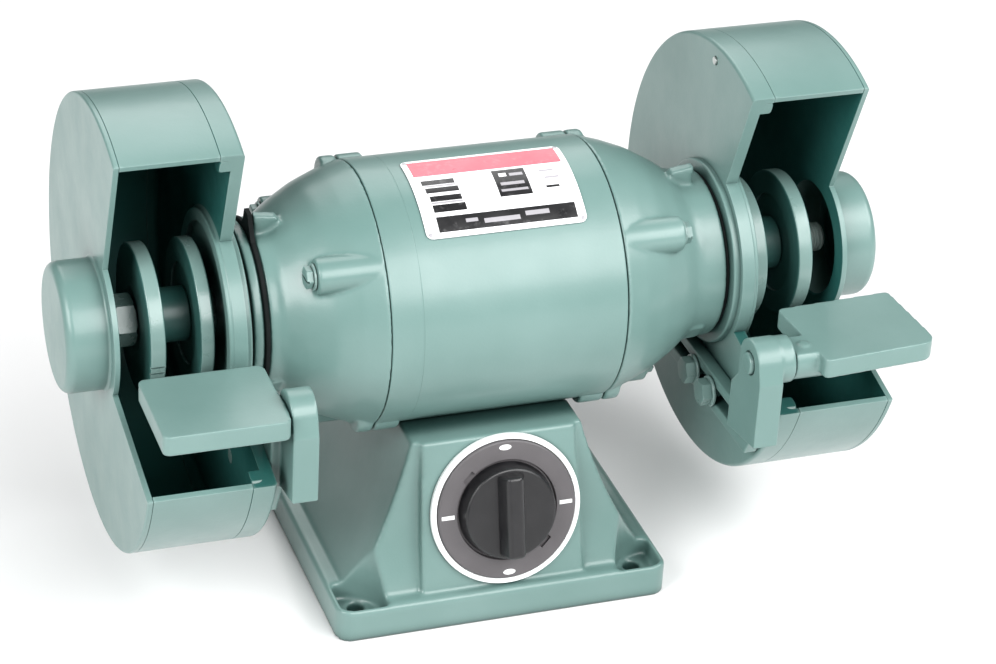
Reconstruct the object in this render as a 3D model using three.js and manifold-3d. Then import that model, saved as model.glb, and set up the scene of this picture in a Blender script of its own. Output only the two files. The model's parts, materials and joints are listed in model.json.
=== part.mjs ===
// Bench grinder with two open wheel guards, two adjustable tool rests and a rotary switch in its base.
// Millimetres. +X runs along the spindle to the operator's right, +Y away from the operator, +Z up.
// The origin is on the underside of the base, below the middle of the spindle.
import * as THREE from 'three';
import { mergeVertices } from 'three/addons/utils/BufferGeometryUtils.js';
import Module from 'manifold-3d';

const wasm = await Module();
wasm.setup();

// ---- driving dimensions -------------------------------------------------------------------------
const GAP = 0.3;
const SPINDLE_HEIGHT = 163;

const GUARD_RADIUS = 120;
const GUARD_WALL = 3.4;
const DISH_FACE = 136;
const DISH_PLATE = 6.5;
const DISH_INSIDE = DISH_FACE + DISH_PLATE;
const DISH_BORE = 15.6;
const DISH_RIM_END = 148.5;
const HUB_RING = { inner: 47, outer: 54, end: 145.5 };
const DISH_EAR = { angles: [71.5, -22.5], circle: 112.2, radius: 6.8 };
const COVER_INNER = 199.5;
const COVER_PLATE = 3;
const CAP_RADIUS = 34.5;
const CAP_END = 225;
const COVER_HUB_RADIUS = 42.5;
const DISH_HUB_RADIUS = 54.5;
const COLLAR_RADIUS = 51;
const COLLAR_FACE = 132.6;
const GASKET = { inner: 14.5, outer: 44 };
const MOUTH_UPPER_ANGLE = 68.5;
const MOUTH_LOWER_NEAR = [-36, -22.5];
const MOUTH_LOWER_FAR = [-113.5, -39];
const GUARD_SCREW_CIRCLE = 111;
const GUARD_SCREW_ANGLES = { upper: 94, lower: -46 };
const GUARD_SCREW = { head: 4.4, headHeight: 2.2, shank: 2.2, hole: 2.6 };

const BARREL_RADIUS = 71;
// The nameplate's ends along X, and the angles of its upper and lower edges round the barrel.
const NAMEPLATE = { start: -40.5, end: 47, top: 93.4, bottom: 48.3, thickness: 0.6 };
const BARREL_BORE = 66;
const BARREL_HALF_LENGTH = 64.3;
const BELL_RIM = BARREL_HALF_LENGTH + 0.4;
const LUG = { circle: 61.5, radius: 9.5, end: 100 };
const LUG_ANGLES = { front: 40, rear: 160, bottom: -80 };
const EAR = { angles: [126, -56], circle: 62, radius: 12, start: 50.5, end: 74 };
const NECK_WEB = { angle: 84, halfThickness: 3, end: 121.6, top: 57.5 };
const NECK_RADIUS = 43.5;
const NECK_FLANGE_RADIUS = 46;
// Outside and inside of a bell as [x, radius], from the rim to the neck and back.
const BELL_OUTSIDE = [[BELL_RIM, BARREL_RADIUS], [78, 66.5], [91, 61.5], [104.5, 54], [115, 47]];
const BELL_INSIDE = [[107, 43.5], [90, 56.5], [BELL_RIM, 66.3]];
const BEARING_ROOM_START = 109;
const SEAL = { start: 122.2, end: 124.6, inner: NECK_RADIUS + GAP, outer: 47.5 };
// Corners of the seal's tab as [radius, angle].
const SEAL_TAB = [[46, 70], [53, 80], [57.5, 83], [57.5, 90], [50, 93], [46, 99]];
const BELL_FLANGE_FACE = 130.5;
const NECK_BORE = 13;
const BEARING_ROOM_END = 126.4;
const SCREW_SHANK = 2.7;
const SCREW_HEAD = { radius: 5.2, height: 5 };

const BEARING_START = 110.5;
const BEARING_WIDTH = 14;
const BEARING_OUTER = 23.5;
const BEARING_INNER = 10 + GAP;
const RACE_WALL = 3.1;
const BALL_CIRCLE = 16.9;
const BALL_RADIUS = 2.9;
const BALL_COUNT = 7;

const STATOR_HALF_LENGTH = 30;
const STATOR_BORE = 37;
const STATOR_SLOTS = 12;
const STATOR_SLOT = { halfWidth: 3, depth: 14 };
const WINDING_BAR = { halfWidth: 2.2, inner: 44, outer: 50 };
// Section of the end turns as [distance past the core, radius].
const END_TURNS = [[0, 43], [0, 56], [9, 58.5], [17, 54], [17, 46], [9, 41.5]];
const ROTOR_END_RING = { radius: 33, length: 6 };
const ROTOR_RADIUS = STATOR_BORE - 0.6;
const SHAFT_CENTRE = 12.5;
const SHAFT_BEARING = 10;
const SHAFT_WHEEL = 8;
const SHAFT_END = 205;
const SHAFT_CHAMFER = 1.5;
const WHEEL_SHOULDER = 141;

const FLANGE_RADIUS = 40;
const FLANGE_INNER_FACE = 149.5;
const WHEEL_SEAT = 157;
const WHEEL_OUTER_SEAT = 175;
const FLANGE_OUTER_FACE = 183.5;
const FLANGE_RELIEF_RADIUS = 27;
const FLANGE_RELIEF = 1.4;
const SPACER_RADIUS = 14.5;
const NUT_ACROSS_FLATS = 24;
const NUT_LENGTH = 10.5;

const REST_SHIFT = { left: 4.5, right: -4.5 };
const REST_PIVOT = [-108, -4.5];
const REST_BOSS_RADIUS = 13;
const REST_ARM_INNER = 116.5;
const REST_ARM_OUTER = 130;
const REST_BOSS_OUTER = { left: 130, right: 138 };
const REST_PLATE_INNER = 128;
const REST_PLATE_OUTER = DISH_FACE - GAP;
const REST_ARM_FRONT = -123.5;
const REST_ARM_FOOT = -48;
const REST_ARM_REAR = -88;
// Where the arm narrows again below the boss, and where the plate rises to meet it.
const REST_ARM_STEP = { low: -26, high: -18 };
const REST_PLATE_TOP = -52.6;
const REST_PLATE_BOTTOM = -74;
const REST_PLATE_REAR = 31;
const REST_PLATE_FRONT = -102;
const REST_SLOT = { front: -83, rear: 21, height: -63.3, halfWidth: 4.6 };
const REST_BOLTS = { front: -44, rear: -20 };
const REST_BOLT_SHANK = 3.9;
const REST_BOLT_HEAD = { acrossFlats: 13, start: 7.5, end: 1.9, washer: 8.6 };
const REST_TABLE = { bottom: -8.5, top: 2.5 };
// Corners [x, y] of each table, the first one nearest to the bracket and to the operator.
const REST_TABLE_PLAN = {
  left: [[131.2, -126], [196.2, -126], [196.2, -69], [131.2, -69]],
  right: [[151.5, -127], [217.5, -122], [213.5, -66.5], [147.5, -70]],
};
const REST_PIN_RADIUS = 6;
const CLAMP_SCREW = { x: 123.2, shank: 2.5, head: 4.6, headHeight: 3.4 };

const BASE = { halfWidth: 93.5, front: -87, rear: 97, corner: 9, rim: 19.4, top: 101 };
// The flare: half width and ends along Y at the top, and the points its curves bend towards.
const FLARE = { halfTop: 47.5, bend: [59, 57.8], ledge: 9, edge: 2 };
const FLARE_FRONT = { top: -57.5, bend: [-63, 50], ledge: 7 };
const FLARE_REAR = { top: 60, bend: [67, 50] };
const PANEL = { bottom: [-81, 19.4], top: [-60, 101], halfTop: 43, halfBottom: 46, back: -40 };
const PANEL_TILT = Math.atan2(PANEL.top[0] - PANEL.bottom[0], PANEL.top[1] - PANEL.bottom[1]);
const POCKET = { inset: 5.5, radius: 22.5, post: 29, floor: 9, curb: 3 };
const BASE_HOLLOW = { side: 86, front: -80, rear: 90, step: 10, slopeStart: 13, roof: 84 };
// Where the hollow's slopes start and where they reach its roof, along X and along Y.
const HOLLOW_SLOPES = { x: { start: [-77, 77], end: [-40, 40] }, y: { start: [-71, 80], end: [-50, 50] } };
const BENCH_HOLE = { inset: [14.5, 19], radius: 4.5 };
const COVER_PLATE_THICKNESS = 2;
const GLAND = { x: -42, z: 10.4, hole: 6.2, body: 5.9, acrossFlats: 15.5, bore: 3.6 };
const GLAND_DOME = { start: 6.2, end: 12.3 };
const CAPACITOR = { radius: 17, start: -20, end: 47, y: 18, z: 20 };

const SWITCH_HEIGHT = 60.8;
const SWITCH_DEPTH = PANEL.bottom[0] + (SWITCH_HEIGHT - PANEL.bottom[1]) * Math.tan(PANEL_TILT);
const SWITCH_CENTRE = [2, SWITCH_DEPTH, SWITCH_HEIGHT];
const DIAL_RING = { outer: 42, inner: 39, height: 3 };
const DIAL = { plate: 38.7, recess: 27.6, bore: 6.5, height: 4.2 };
const KNOB = { radius: 26.8, crown: 24.8, base: 2.4, top: 11.5, stem: 4.5 };
const KNOB_GRIP = { length: 46, width: 13, top: 20.5, corner: 4 };
const STEM_HOLE = KNOB.stem + 0.4;
const SWITCH_WALL = 14.8;
const SWITCH_BODY = { half: 19, depth: 32 };

// Sides of the round shapes, from the guards down to the smallest screws.
const SIDES = { guard: 28, barrel: 28, bell: 20, flange: 16, shaft: 12, boss: 8, screw: 6 };

// ---- materials ----------------------------------------------------------------------------------
function surface(color, roughness, metalness) {
  return new THREE.MeshStandardMaterial({ color, roughness, metalness });
}

const enamel = surface(0x7fa39d, 0.35, 0.1);
const steel = surface(0xa6a9a8, 0.3, 0.9);
const enamelledSteel = surface(0x6f928c, 0.3, 0.4);
const lamination = surface(0x5b5f63, 0.5, 0.8);
const copper = surface(0xa65a2e, 0.45, 0.6);
const blackPlastic = surface(0x1b1a1c, 0.4, 0);
const greyPlastic = surface(0x6f6c6f, 0.5, 0);
const whitePlastic = surface(0xe9ecec, 0.4, 0);
const rubber = surface(0x161616, 0.8, 0);
const label = surface(0xdedede, 0.35, 0.1);

// ---- geometry to solids and back ----------------------------------------------------------------
const radians = (degrees) => THREE.MathUtils.degToRad(degrees);

// Indices of a closed mesh, without collapsed triangles, wound so that its faces point outwards.
function outwardTriangles(positions, indices) {
  const corner = (i) => new THREE.Vector3().fromArray(positions, 3 * i);
  const triangles = [];
  let volume = 0;
  for (let i = 0; i < indices.length; i += 3) {
    const [a, b, c] = [indices[i], indices[i + 1], indices[i + 2]];
    if (a === b || b === c || c === a) continue;
    triangles.push([a, b, c]);
    volume += corner(a).dot(corner(b).cross(corner(c)));
  }
  return triangles.flatMap(([a, b, c]) => (volume > 0 ? [a, b, c] : [a, c, b]));
}

function mergedMesh(geometry) {
  const bare = new THREE.BufferGeometry();
  bare.setAttribute('position', geometry.getAttribute('position').clone());
  if (geometry.index) bare.setIndex(geometry.index.clone());
  const merged = mergeVertices(bare, 1e-4);
  const positions = Float32Array.from(merged.getAttribute('position').array);
  return { positions, triangles: outwardTriangles(positions, merged.index.array) };
}

function solid(geometry) {
  const { positions, triangles } = mergedMesh(geometry);
  const mesh = new wasm.Mesh({
    numProp: 3,
    vertProperties: positions,
    triVerts: Uint32Array.from(triangles),
  });
  return new wasm.Manifold(mesh);
}

function geometryOf(manifold) {
  const { vertProperties, triVerts } = manifold.getMesh();
  const geometry = new THREE.BufferGeometry();
  geometry.setAttribute('position', new THREE.BufferAttribute(Float32Array.from(vertProperties), 3));
  geometry.setIndex(Array.from(triVerts));
  return geometry;
}

const join = (first, ...others) => others.reduce((sum, other) => sum.add(other), first);
const cut = (first, ...others) => others.reduce((rest, other) => rest.subtract(other), first);

// A named mesh; a manifold is turned back into a geometry, and side -1 mirrors it to the left.
function piece(name, shape, material, side = 1) {
  const geometry = shape.isBufferGeometry ? shape : geometryOf(shape);
  geometry.scale(side, 1, 1);
  const { positions, triangles } = mergedMesh(geometry);
  const closed = new THREE.BufferGeometry();
  closed.setAttribute('position', new THREE.BufferAttribute(positions, 3));
  closed.setIndex(triangles);
  closed.computeVertexNormals();
  const mesh = new THREE.Mesh(closed, material);
  mesh.name = name;
  return mesh;
}

// ---- shapes along the spindle -------------------------------------------------------------------
// Turned shape about the X axis from [x, radius] points.
function turned(profile, segments) {
  const points = profile.map(([x, radius]) => new THREE.Vector2(radius, x));
  return new THREE.LatheGeometry(points, segments).rotateZ(-Math.PI / 2);
}

// The same for a ring, whose profile closes on itself.
const turnedRing = (profile, segments) => turned([...profile, profile[0]], segments);

const tube = (start, end, inner, outer, segments) =>
  turnedRing([[start, inner], [start, outer], [end, outer], [end, inner]], segments);

function rod(start, end, radius, y = 0, z = 0, segments = SIDES.boss) {
  const geometry = new THREE.CylinderGeometry(radius, radius, end - start, segments);
  return geometry.rotateZ(Math.PI / 2).translate((start + end) / 2, y, z);
}

const hexRadius = (acrossFlats) => acrossFlats / Math.sqrt(3);

const hexRod = (start, end, acrossFlats, y = 0, z = 0) => rod(start, end, hexRadius(acrossFlats), y, z, 6);

// A cylinder or cone along Y, from front to rear.
function rodAlongY(front, rear, radiusFront, radiusRear = radiusFront, segments = SIDES.boss) {
  const geometry = new THREE.CylinderGeometry(radiusRear, radiusFront, rear - front, segments);
  return geometry.translate(0, (front + rear) / 2, 0);
}

// An outline in the YZ plane, extruded along X.
function alongX(shape, start, end, curveSegments = 5) {
  const depth = end - start;
  const geometry = new THREE.ExtrudeGeometry(shape, { depth, bevelEnabled: false, curveSegments });
  const toYZ = new THREE.Matrix4().makeBasis(
    new THREE.Vector3(0, 1, 0),
    new THREE.Vector3(0, 0, 1),
    new THREE.Vector3(1, 0, 0),
  );
  return geometry.applyMatrix4(toYZ).translate(start, 0, 0);
}

// An outline in the XZ plane, extruded along Y from front to rear.
function alongY(shape, front, rear, curveSegments = 5) {
  const depth = rear - front;
  const geometry = new THREE.ExtrudeGeometry(shape, { depth, bevelEnabled: false, curveSegments });
  return geometry.rotateX(Math.PI / 2).translate(0, rear, 0);
}

function alongZ(shape, bottom, top, curveSegments = 3) {
  const depth = top - bottom;
  const geometry = new THREE.ExtrudeGeometry(shape, { depth, bevelEnabled: false, curveSegments });
  return geometry.translate(0, 0, bottom);
}

function block([x0, y0, z0], [x1, y1, z1]) {
  const geometry = new THREE.BoxGeometry(x1 - x0, y1 - y0, z1 - z0);
  return geometry.translate((x0 + x1) / 2, (y0 + y1) / 2, (z0 + z1) / 2);
}

const outline = (points) => new THREE.Shape(points.map(([u, v]) => new THREE.Vector2(u, v)));

// Point on a circle about the spindle; the angle opens upwards from the operator's side.
const around = (radius, angle) => [-radius * Math.cos(radians(angle)), radius * Math.sin(radians(angle))];

function roundedRectangle(x0, x1, y0, y1, radius) {
  const shape = new THREE.Shape();
  shape.absarc(x1 - radius, y0 + radius, radius, -Math.PI / 2, 0);
  shape.absarc(x1 - radius, y1 - radius, radius, 0, Math.PI / 2);
  shape.absarc(x0 + radius, y1 - radius, radius, Math.PI / 2, Math.PI);
  shape.absarc(x0 + radius, y0 + radius, radius, Math.PI, 1.5 * Math.PI);
  shape.closePath();
  return shape;
}

// ---- base ---------------------------------------------------------------------------------------
const cornerPoints = [
  [BASE.halfWidth - POCKET.inset, BASE.front + POCKET.inset],
  [-BASE.halfWidth + POCKET.inset, BASE.front + POCKET.inset],
  [BASE.halfWidth - POCKET.inset, BASE.rear - POCKET.inset],
  [-BASE.halfWidth + POCKET.inset, BASE.rear - POCKET.inset],
];

function uprightRod(radius, x, y, bottom, top, segments) {
  const geometry = new THREE.CylinderGeometry(radius, radius, top - bottom, segments);
  return geometry.rotateX(Math.PI / 2).translate(x, y, (bottom + top) / 2);
}

// Rim, then a concave flare up to the top of the pedestal, as seen from the front.
function baseFrontView() {
  const { halfWidth, rim, top } = BASE;
  const { halfTop, bend, ledge, edge } = FLARE;
  const shape = new THREE.Shape();
  shape.moveTo(-halfWidth, 0);
  shape.lineTo(halfWidth, 0);
  shape.lineTo(halfWidth, rim - edge);
  shape.lineTo(halfWidth - edge, rim);
  shape.lineTo(halfWidth - ledge, rim);
  shape.quadraticCurveTo(bend[0], bend[1], halfTop, top);
  shape.lineTo(-halfTop, top);
  shape.quadraticCurveTo(-bend[0], bend[1], ledge - halfWidth, rim);
  shape.lineTo(edge - halfWidth, rim);
  shape.lineTo(-halfWidth, rim - edge);
  return shape;
}

function baseSideView() {
  const { front, rear, rim, top } = BASE;
  const { edge } = FLARE;
  const { ledge } = FLARE_FRONT;
  const shape = new THREE.Shape();
  shape.moveTo(front, 0);
  shape.lineTo(rear, 0);
  shape.lineTo(rear, rim - edge);
  shape.lineTo(rear - edge, rim);
  shape.lineTo(rear - ledge, rim);
  shape.quadraticCurveTo(...FLARE_REAR.bend, FLARE_REAR.top, top);
  shape.lineTo(FLARE_FRONT.top, top);
  shape.quadraticCurveTo(...FLARE_FRONT.bend, front + ledge, rim);
  shape.lineTo(front + edge, rim);
  shape.lineTo(front, rim - edge);
  return shape;
}

function pedestal() {
  const width = 2 * BASE.halfWidth;
  const plan = roundedRectangle(-BASE.halfWidth, BASE.halfWidth, BASE.front, BASE.rear, BASE.corner);
  const fromFront = solid(alongY(baseFrontView(), BASE.front - 5, BASE.rear + 5));
  const fromSide = solid(alongX(baseSideView(), -width, width));
  return fromFront.intersect(fromSide).intersect(solid(alongZ(plan, -1, BASE.top + 1)));
}

// The flat, slanted panel that carries the switch stands proud of the flare.
function switchPanel() {
  const { bottom, top, halfTop, halfBottom, back } = PANEL;
  const [low, high] = [bottom[1], top[1]];
  const face = outline([[-halfBottom, low], [halfBottom, low], [halfTop, high], [-halfTop, high]]);
  const slope = outline([bottom, top, [back, high], [back, low]]);
  return solid(alongY(face, BASE.front, back)).intersect(solid(alongX(slope, -halfBottom, halfBottom)));
}

function cornerPosts(radius, bottom, top) {
  return cornerPoints.map(([x, y]) => solid(uprightRod(radius, x, y, bottom, top, SIDES.shaft)));
}

// Straight walls up to a step, then a slope in to the roof of the hollow.
function hollowView(near, far, slopes) {
  const { step, slopeStart, roof } = BASE_HOLLOW;
  const { start, end } = slopes;
  return outline([[near, -1], [far, -1], [far, step], [start[1], slopeStart], [end[1], roof],
    [end[0], roof], [start[0], slopeStart], [near, step]]);
}

function baseHollow() {
  const { side, front, rear } = BASE_HOLLOW;
  const frontView = hollowView(-side, side, HOLLOW_SLOPES.x);
  const sideView = hollowView(front, rear, HOLLOW_SLOPES.y);
  const fromFront = solid(alongY(frontView, BASE.front, BASE.rear));
  const fromSide = solid(alongX(sideView, -BASE.halfWidth, BASE.halfWidth));
  return cut(fromFront.intersect(fromSide), ...cornerPosts(POCKET.post, -2, BASE.top));
}

// Sunken corners, each inside a thin curb, where the bench bolts go.
function cornerPockets() {
  const { curb, floor, radius } = POCKET;
  const inner = roundedRectangle(
    curb - BASE.halfWidth,
    BASE.halfWidth - curb,
    BASE.front + curb,
    BASE.rear - curb,
    BASE.corner - curb,
  );
  const inside = solid(alongZ(inner, floor, BASE.top));
  return cornerPosts(radius, floor - 1, BASE.top).map((post) => post.intersect(inside));
}

function benchHoles() {
  const [dx, dy] = BENCH_HOLE.inset;
  return [-1, 1].flatMap((side) => [BASE.front + dy, BASE.rear - dy].map((y) =>
    solid(uprightRod(BENCH_HOLE.radius, side * (BASE.halfWidth - dx), y, -1, BASE.rim, SIDES.boss))));
}

function glandHole() {
  return solid(rodAlongY(BASE.rear - 16, BASE.rear + 4, GLAND.hole).translate(GLAND.x, 0, GLAND.z));
}

function switchHole() {
  const hole = rodAlongY(-20, 20, DIAL.bore).rotateX(Math.PI / 2);
  return solid(hole.rotateX(Math.PI / 2 - PANEL_TILT).translate(...SWITCH_CENTRE));
}

function baseCasting() {
  const saddle = solid(rod(-80, 80, BARREL_RADIUS + GAP, 0, SPINDLE_HEIGHT, SIDES.barrel));
  const body = cut(join(pedestal(), switchPanel()), baseHollow(), saddle, switchHole(), glandHole());
  return piece('base_casting', cut(body, ...cornerPockets(), ...benchHoles()), enamel);
}

function baseCoverPlate() {
  const { side, front, rear, step } = BASE_HOLLOW;
  const sheet = block([-side + 0.4, front + 0.4, 0], [side - 0.4, rear - 0.4, COVER_PLATE_THICKNESS]);
  return piece('base_cover_plate', cut(solid(sheet), ...cornerPosts(POCKET.post + 0.5, -1, step)), steel);
}

function cableGland() {
  const { rear } = BASE;
  const radius = hexRadius(GLAND.acrossFlats);
  const body = solid(rodAlongY(rear - 14.7, rear + 0.5, GLAND.body));
  const hex = solid(rodAlongY(rear + GAP, rear + GLAND_DOME.start + 0.1, radius, radius, 6));
  const dome = solid(rodAlongY(rear + GLAND_DOME.start, rear + GLAND_DOME.end, 6.6, 5));
  const bore = solid(rodAlongY(rear - 30, rear + 30, GLAND.bore));
  const gland = piece('cable_gland', cut(join(body, hex, dome), bore), blackPlastic);
  gland.position.set(GLAND.x, 0, GLAND.z);
  return gland;
}

function capacitor() {
  const { radius, start, end, y, z } = CAPACITOR;
  return piece('capacitor', rod(start, end, radius, y, z, SIDES.shaft), steel);
}

// ---- switch, modelled with +Z out of the panel and +Y up its slope --------------------------------
function dialRing() {
  const { inner, outer, height } = DIAL_RING;
  const ring = tube(GAP, height, inner, outer, SIDES.guard);
  return piece('switch_bezel', ring.rotateY(-Math.PI / 2), whitePlastic);
}

function dialPlate() {
  const { plate, recess, bore, height } = DIAL;
  const profile = [[GAP, bore], [GAP, plate], [height, plate], [height, recess],
    [2, recess - 0.4], [2, bore]];
  return piece('switch_plate', turnedRing(profile, SIDES.guard).rotateY(-Math.PI / 2), greyPlastic);
}

function switchKnob() {
  const { radius, crown, base, top, stem } = KNOB;
  const { length, width, corner } = KNOB_GRIP;
  const drum = turned([[base, 0], [base, radius], [top, crown], [top, 0]], SIDES.bell).rotateY(-Math.PI / 2);
  const grip = roundedRectangle(-width / 2, width / 2, -length / 2, length / 2, corner);
  const shank = rodAlongY(0.5 - SWITCH_WALL, base + 0.5, stem).rotateX(Math.PI / 2);
  const knob = join(solid(drum), solid(alongZ(grip, top - 1, KNOB_GRIP.top)), solid(shank));
  return piece('switch_knob', knob, blackPlastic);
}

function switchBody() {
  const { half, depth } = SWITCH_BODY;
  const body = solid(block([-half, -half, -SWITCH_WALL - depth], [half, half, -SWITCH_WALL - 0.4]));
  const shaftHole = rodAlongY(-SWITCH_WALL - 6, 6 - SWITCH_WALL, STEM_HOLE).rotateX(Math.PI / 2);
  return piece('switch_body', cut(body, solid(shaftHole)), blackPlastic);
}

function switchGroup() {
  const group = new THREE.Group();
  group.position.set(...SWITCH_CENTRE);
  group.rotation.x = Math.PI / 2 - PANEL_TILT;
  group.add(dialRing(), dialPlate(), switchKnob(), switchBody());
  return group;
}

// ---- motor --------------------------------------------------------------------------------------
const lugs = Object.entries(LUG_ANGLES).map(([name, angle]) => ({ name, at: around(LUG.circle, angle) }));
const earCentres = EAR.angles.map((angle) => around(EAR.circle, angle));

function motorBarrel() {
  const half = BARREL_HALF_LENGTH;
  const shell = solid(tube(-half, half, BARREL_BORE, BARREL_RADIUS, SIDES.barrel));
  const pads = [];
  const holes = [];
  for (const side of [-1, 1]) {
    const [start, end] = [EAR.start, BARREL_HALF_LENGTH];
    const onSide = (shape) => solid(shape.scale(side, 1, 1));
    for (const at of earCentres) pads.push(onSide(rod(start, end, EAR.radius, ...at)));
    for (const { at } of lugs) {
      pads.push(onSide(rod(start, end, LUG.radius - GAP, ...at)));
      holes.push(onSide(rod(start + 3, end + 1, SCREW_SHANK + GAP, ...at, SIDES.screw)));
    }
  }
  return piece('motor_barrel', cut(join(shell, ...pads), ...holes), enamel);
}

// A thin web on top of the neck, between the bell and its flange.
function neckWeb() {
  const { angle, halfThickness, end, top } = NECK_WEB;
  const side = outline([[104, 46], [109.5, top - 2], [end, top], [end, 40], [112, 38]]);
  return solid(alongY(side, -halfThickness, halfThickness).rotateX(radians(90 - angle)));
}

// The left neck has a groove for the seal ring.
function endBell(name, side) {
  const [near, far] = [SEAL.start - GAP, SEAL.end + GAP];
  const flange = NECK_FLANGE_RADIUS;
  const groove = side < 0 ? [[near, flange], [near, NECK_RADIUS], [far, NECK_RADIUS], [far, flange]] : [];
  const seat = BEARING_OUTER + GAP;
  const profile = [
    ...BELL_OUTSIDE, ...groove, [BELL_FLANGE_FACE, flange], [BELL_FLANGE_FACE, NECK_BORE],
    [BEARING_ROOM_END, NECK_BORE], [BEARING_ROOM_END, seat], [BEARING_ROOM_START, seat], ...BELL_INSIDE,
  ];
  const shell = solid(turnedRing(profile, SIDES.bell));
  const bosses = lugs.map(({ at }) => solid(rod(BELL_RIM, LUG.end, LUG.radius, ...at)));
  const ears = earCentres.map((at) => solid(rod(BELL_RIM, EAR.end, EAR.radius, ...at)));
  const holes = lugs.map(({ at }) =>
    solid(rod(BELL_RIM - 1, LUG.end + 1, SCREW_SHANK + GAP, ...at, SIDES.screw)));
  return piece(name, cut(join(shell, neckWeb(), ...bosses, ...ears), ...holes), enamel, side);
}

// Rubber ring in the groove of the left neck, with a pointed tab on top.
function neckSeal() {
  const { start, end, inner, outer } = SEAL;
  const ring = solid(tube(start, end, inner, outer, SIDES.bell));
  const tab = outline(SEAL_TAB.map(([radius, angle]) => around(radius, angle)));
  return piece('neck_seal_left', join(ring, solid(alongX(tab, start, end))), rubber, -1);
}

// One bolt in each lug holds the bell to the barrel.
function bellScrew(name, side, at) {
  const { radius, height } = SCREW_HEAD;
  const head = solid(rod(LUG.end + GAP, LUG.end + height, radius, ...at, SIDES.screw));
  const shank = solid(rod(EAR.start + 5, LUG.end + 1, SCREW_SHANK, ...at, SIDES.screw));
  return piece(name, join(head, shank), steel, side);
}

// Middle of a stator slot, turned about the spindle from straight up.
const slotAngle = (i) => ((i + 0.5) * 2 * Math.PI) / STATOR_SLOTS;

function statorCore() {
  const half = STATOR_HALF_LENGTH;
  const ring = solid(tube(-half, half, STATOR_BORE, BARREL_BORE - 0.8, SIDES.bell));
  const { halfWidth, depth } = STATOR_SLOT;
  const slots = [];
  for (let i = 0; i < STATOR_SLOTS; i += 1) {
    const slot = block([-half - 1, -halfWidth, STATOR_BORE - 3], [half + 1, halfWidth, STATOR_BORE + depth]);
    slots.push(solid(slot.rotateX(slotAngle(i))));
  }
  return piece('stator_core', cut(ring, ...slots), lamination);
}

// Copper bars through the stator slots, joined by a bundle of end turns at each end.
function statorWinding() {
  const start = STATOR_HALF_LENGTH + 0.5;
  const { halfWidth, inner, outer } = WINDING_BAR;
  const endTurns = END_TURNS.map(([past, radius]) => [start + past, radius]);
  const rings = [-1, 1].map((side) => solid(turnedRing(endTurns, SIDES.shaft).scale(side, 1, 1)));
  const bars = [];
  for (let i = 0; i < STATOR_SLOTS; i += 1) {
    const bar = block([-start - 2, -halfWidth, inner], [start + 2, halfWidth, outer]);
    bars.push(solid(bar.rotateX(slotAngle(i))));
  }
  return piece('stator_winding', join(...rings, ...bars), copper);
}

function rotorCore() {
  const bore = SHAFT_CENTRE + GAP;
  const end = STATOR_HALF_LENGTH;
  const { radius, length } = ROTOR_END_RING;
  const half = [[end, ROTOR_RADIUS], [end, radius], [end + length, radius], [end + length, bore]];
  const profile = [...half.map(([x, r]) => [-x, r]).reverse(), ...half];
  return piece('rotor_core', turnedRing(profile, SIDES.flange), lamination);
}

function spindle() {
  const half = [[BEARING_START, SHAFT_CENTRE], [BEARING_START, SHAFT_BEARING],
    [WHEEL_SHOULDER, SHAFT_BEARING], [WHEEL_SHOULDER, SHAFT_WHEEL],
    [SHAFT_END - SHAFT_CHAMFER, SHAFT_WHEEL], [SHAFT_END, SHAFT_WHEEL - SHAFT_CHAMFER], [SHAFT_END, 0]];
  const mirrored = half.map(([x, radius]) => [-x, radius]).reverse();
  return piece('spindle', turned([...mirrored, ...half], SIDES.shaft), steel);
}

function nameplate() {
  const { start, end, top, bottom, thickness } = NAMEPLATE;
  const [upper, lower] = [Math.PI - radians(top), Math.PI - radians(bottom)];
  const shape = new THREE.Shape();
  shape.absarc(0, 0, BARREL_RADIUS + GAP + thickness, upper, lower);
  shape.absarc(0, 0, BARREL_RADIUS + GAP, lower, upper, true);
  shape.closePath();
  return piece('nameplate', alongX(shape, start, end, 8), label);
}

function bearing(sideName, side) {
  const [start, end] = [BEARING_START + GAP, BEARING_START + GAP + BEARING_WIDTH];
  const middle = (start + end) / 2;
  const outer = tube(start, end, BEARING_OUTER - RACE_WALL, BEARING_OUTER, SIDES.bell);
  const inner = tube(start, end, BEARING_INNER, BEARING_INNER + RACE_WALL, SIDES.shaft);
  const balls = [];
  for (let i = 0; i < BALL_COUNT; i += 1) {
    const ball = new THREE.SphereGeometry(BALL_RADIUS, 6, 4);
    balls.push(solid(ball.translate(middle, ...around(BALL_CIRCLE, (i * 360) / BALL_COUNT))));
  }
  const cage = solid(tube(middle - 3, middle + 3, BALL_CIRCLE - 1, BALL_CIRCLE + 1, SIDES.shaft));
  return [
    piece(`bearing_outer_ring_${sideName}`, outer, steel, side),
    piece(`bearing_inner_ring_${sideName}`, inner, steel, side),
    piece(`bearing_balls_${sideName}`, join(cage, ...balls), steel, side),
  ];
}

// ---- guards -------------------------------------------------------------------------------------
// Where the lower edge of the mouth meets a hub of the given radius.
function lowerEdgeAt(radius) {
  const [y0, z0] = MOUTH_LOWER_NEAR;
  const [dy, dz] = [MOUTH_LOWER_FAR[0] - y0, MOUTH_LOWER_FAR[1] - z0];
  const a = dy * dy + dz * dz;
  const b = y0 * dy + z0 * dz;
  const c = y0 * y0 + z0 * z0 - radius * radius;
  const t = (-b + Math.sqrt(b * b - a * c)) / a;
  return [y0 + t * dy, z0 + t * dz];
}

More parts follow.
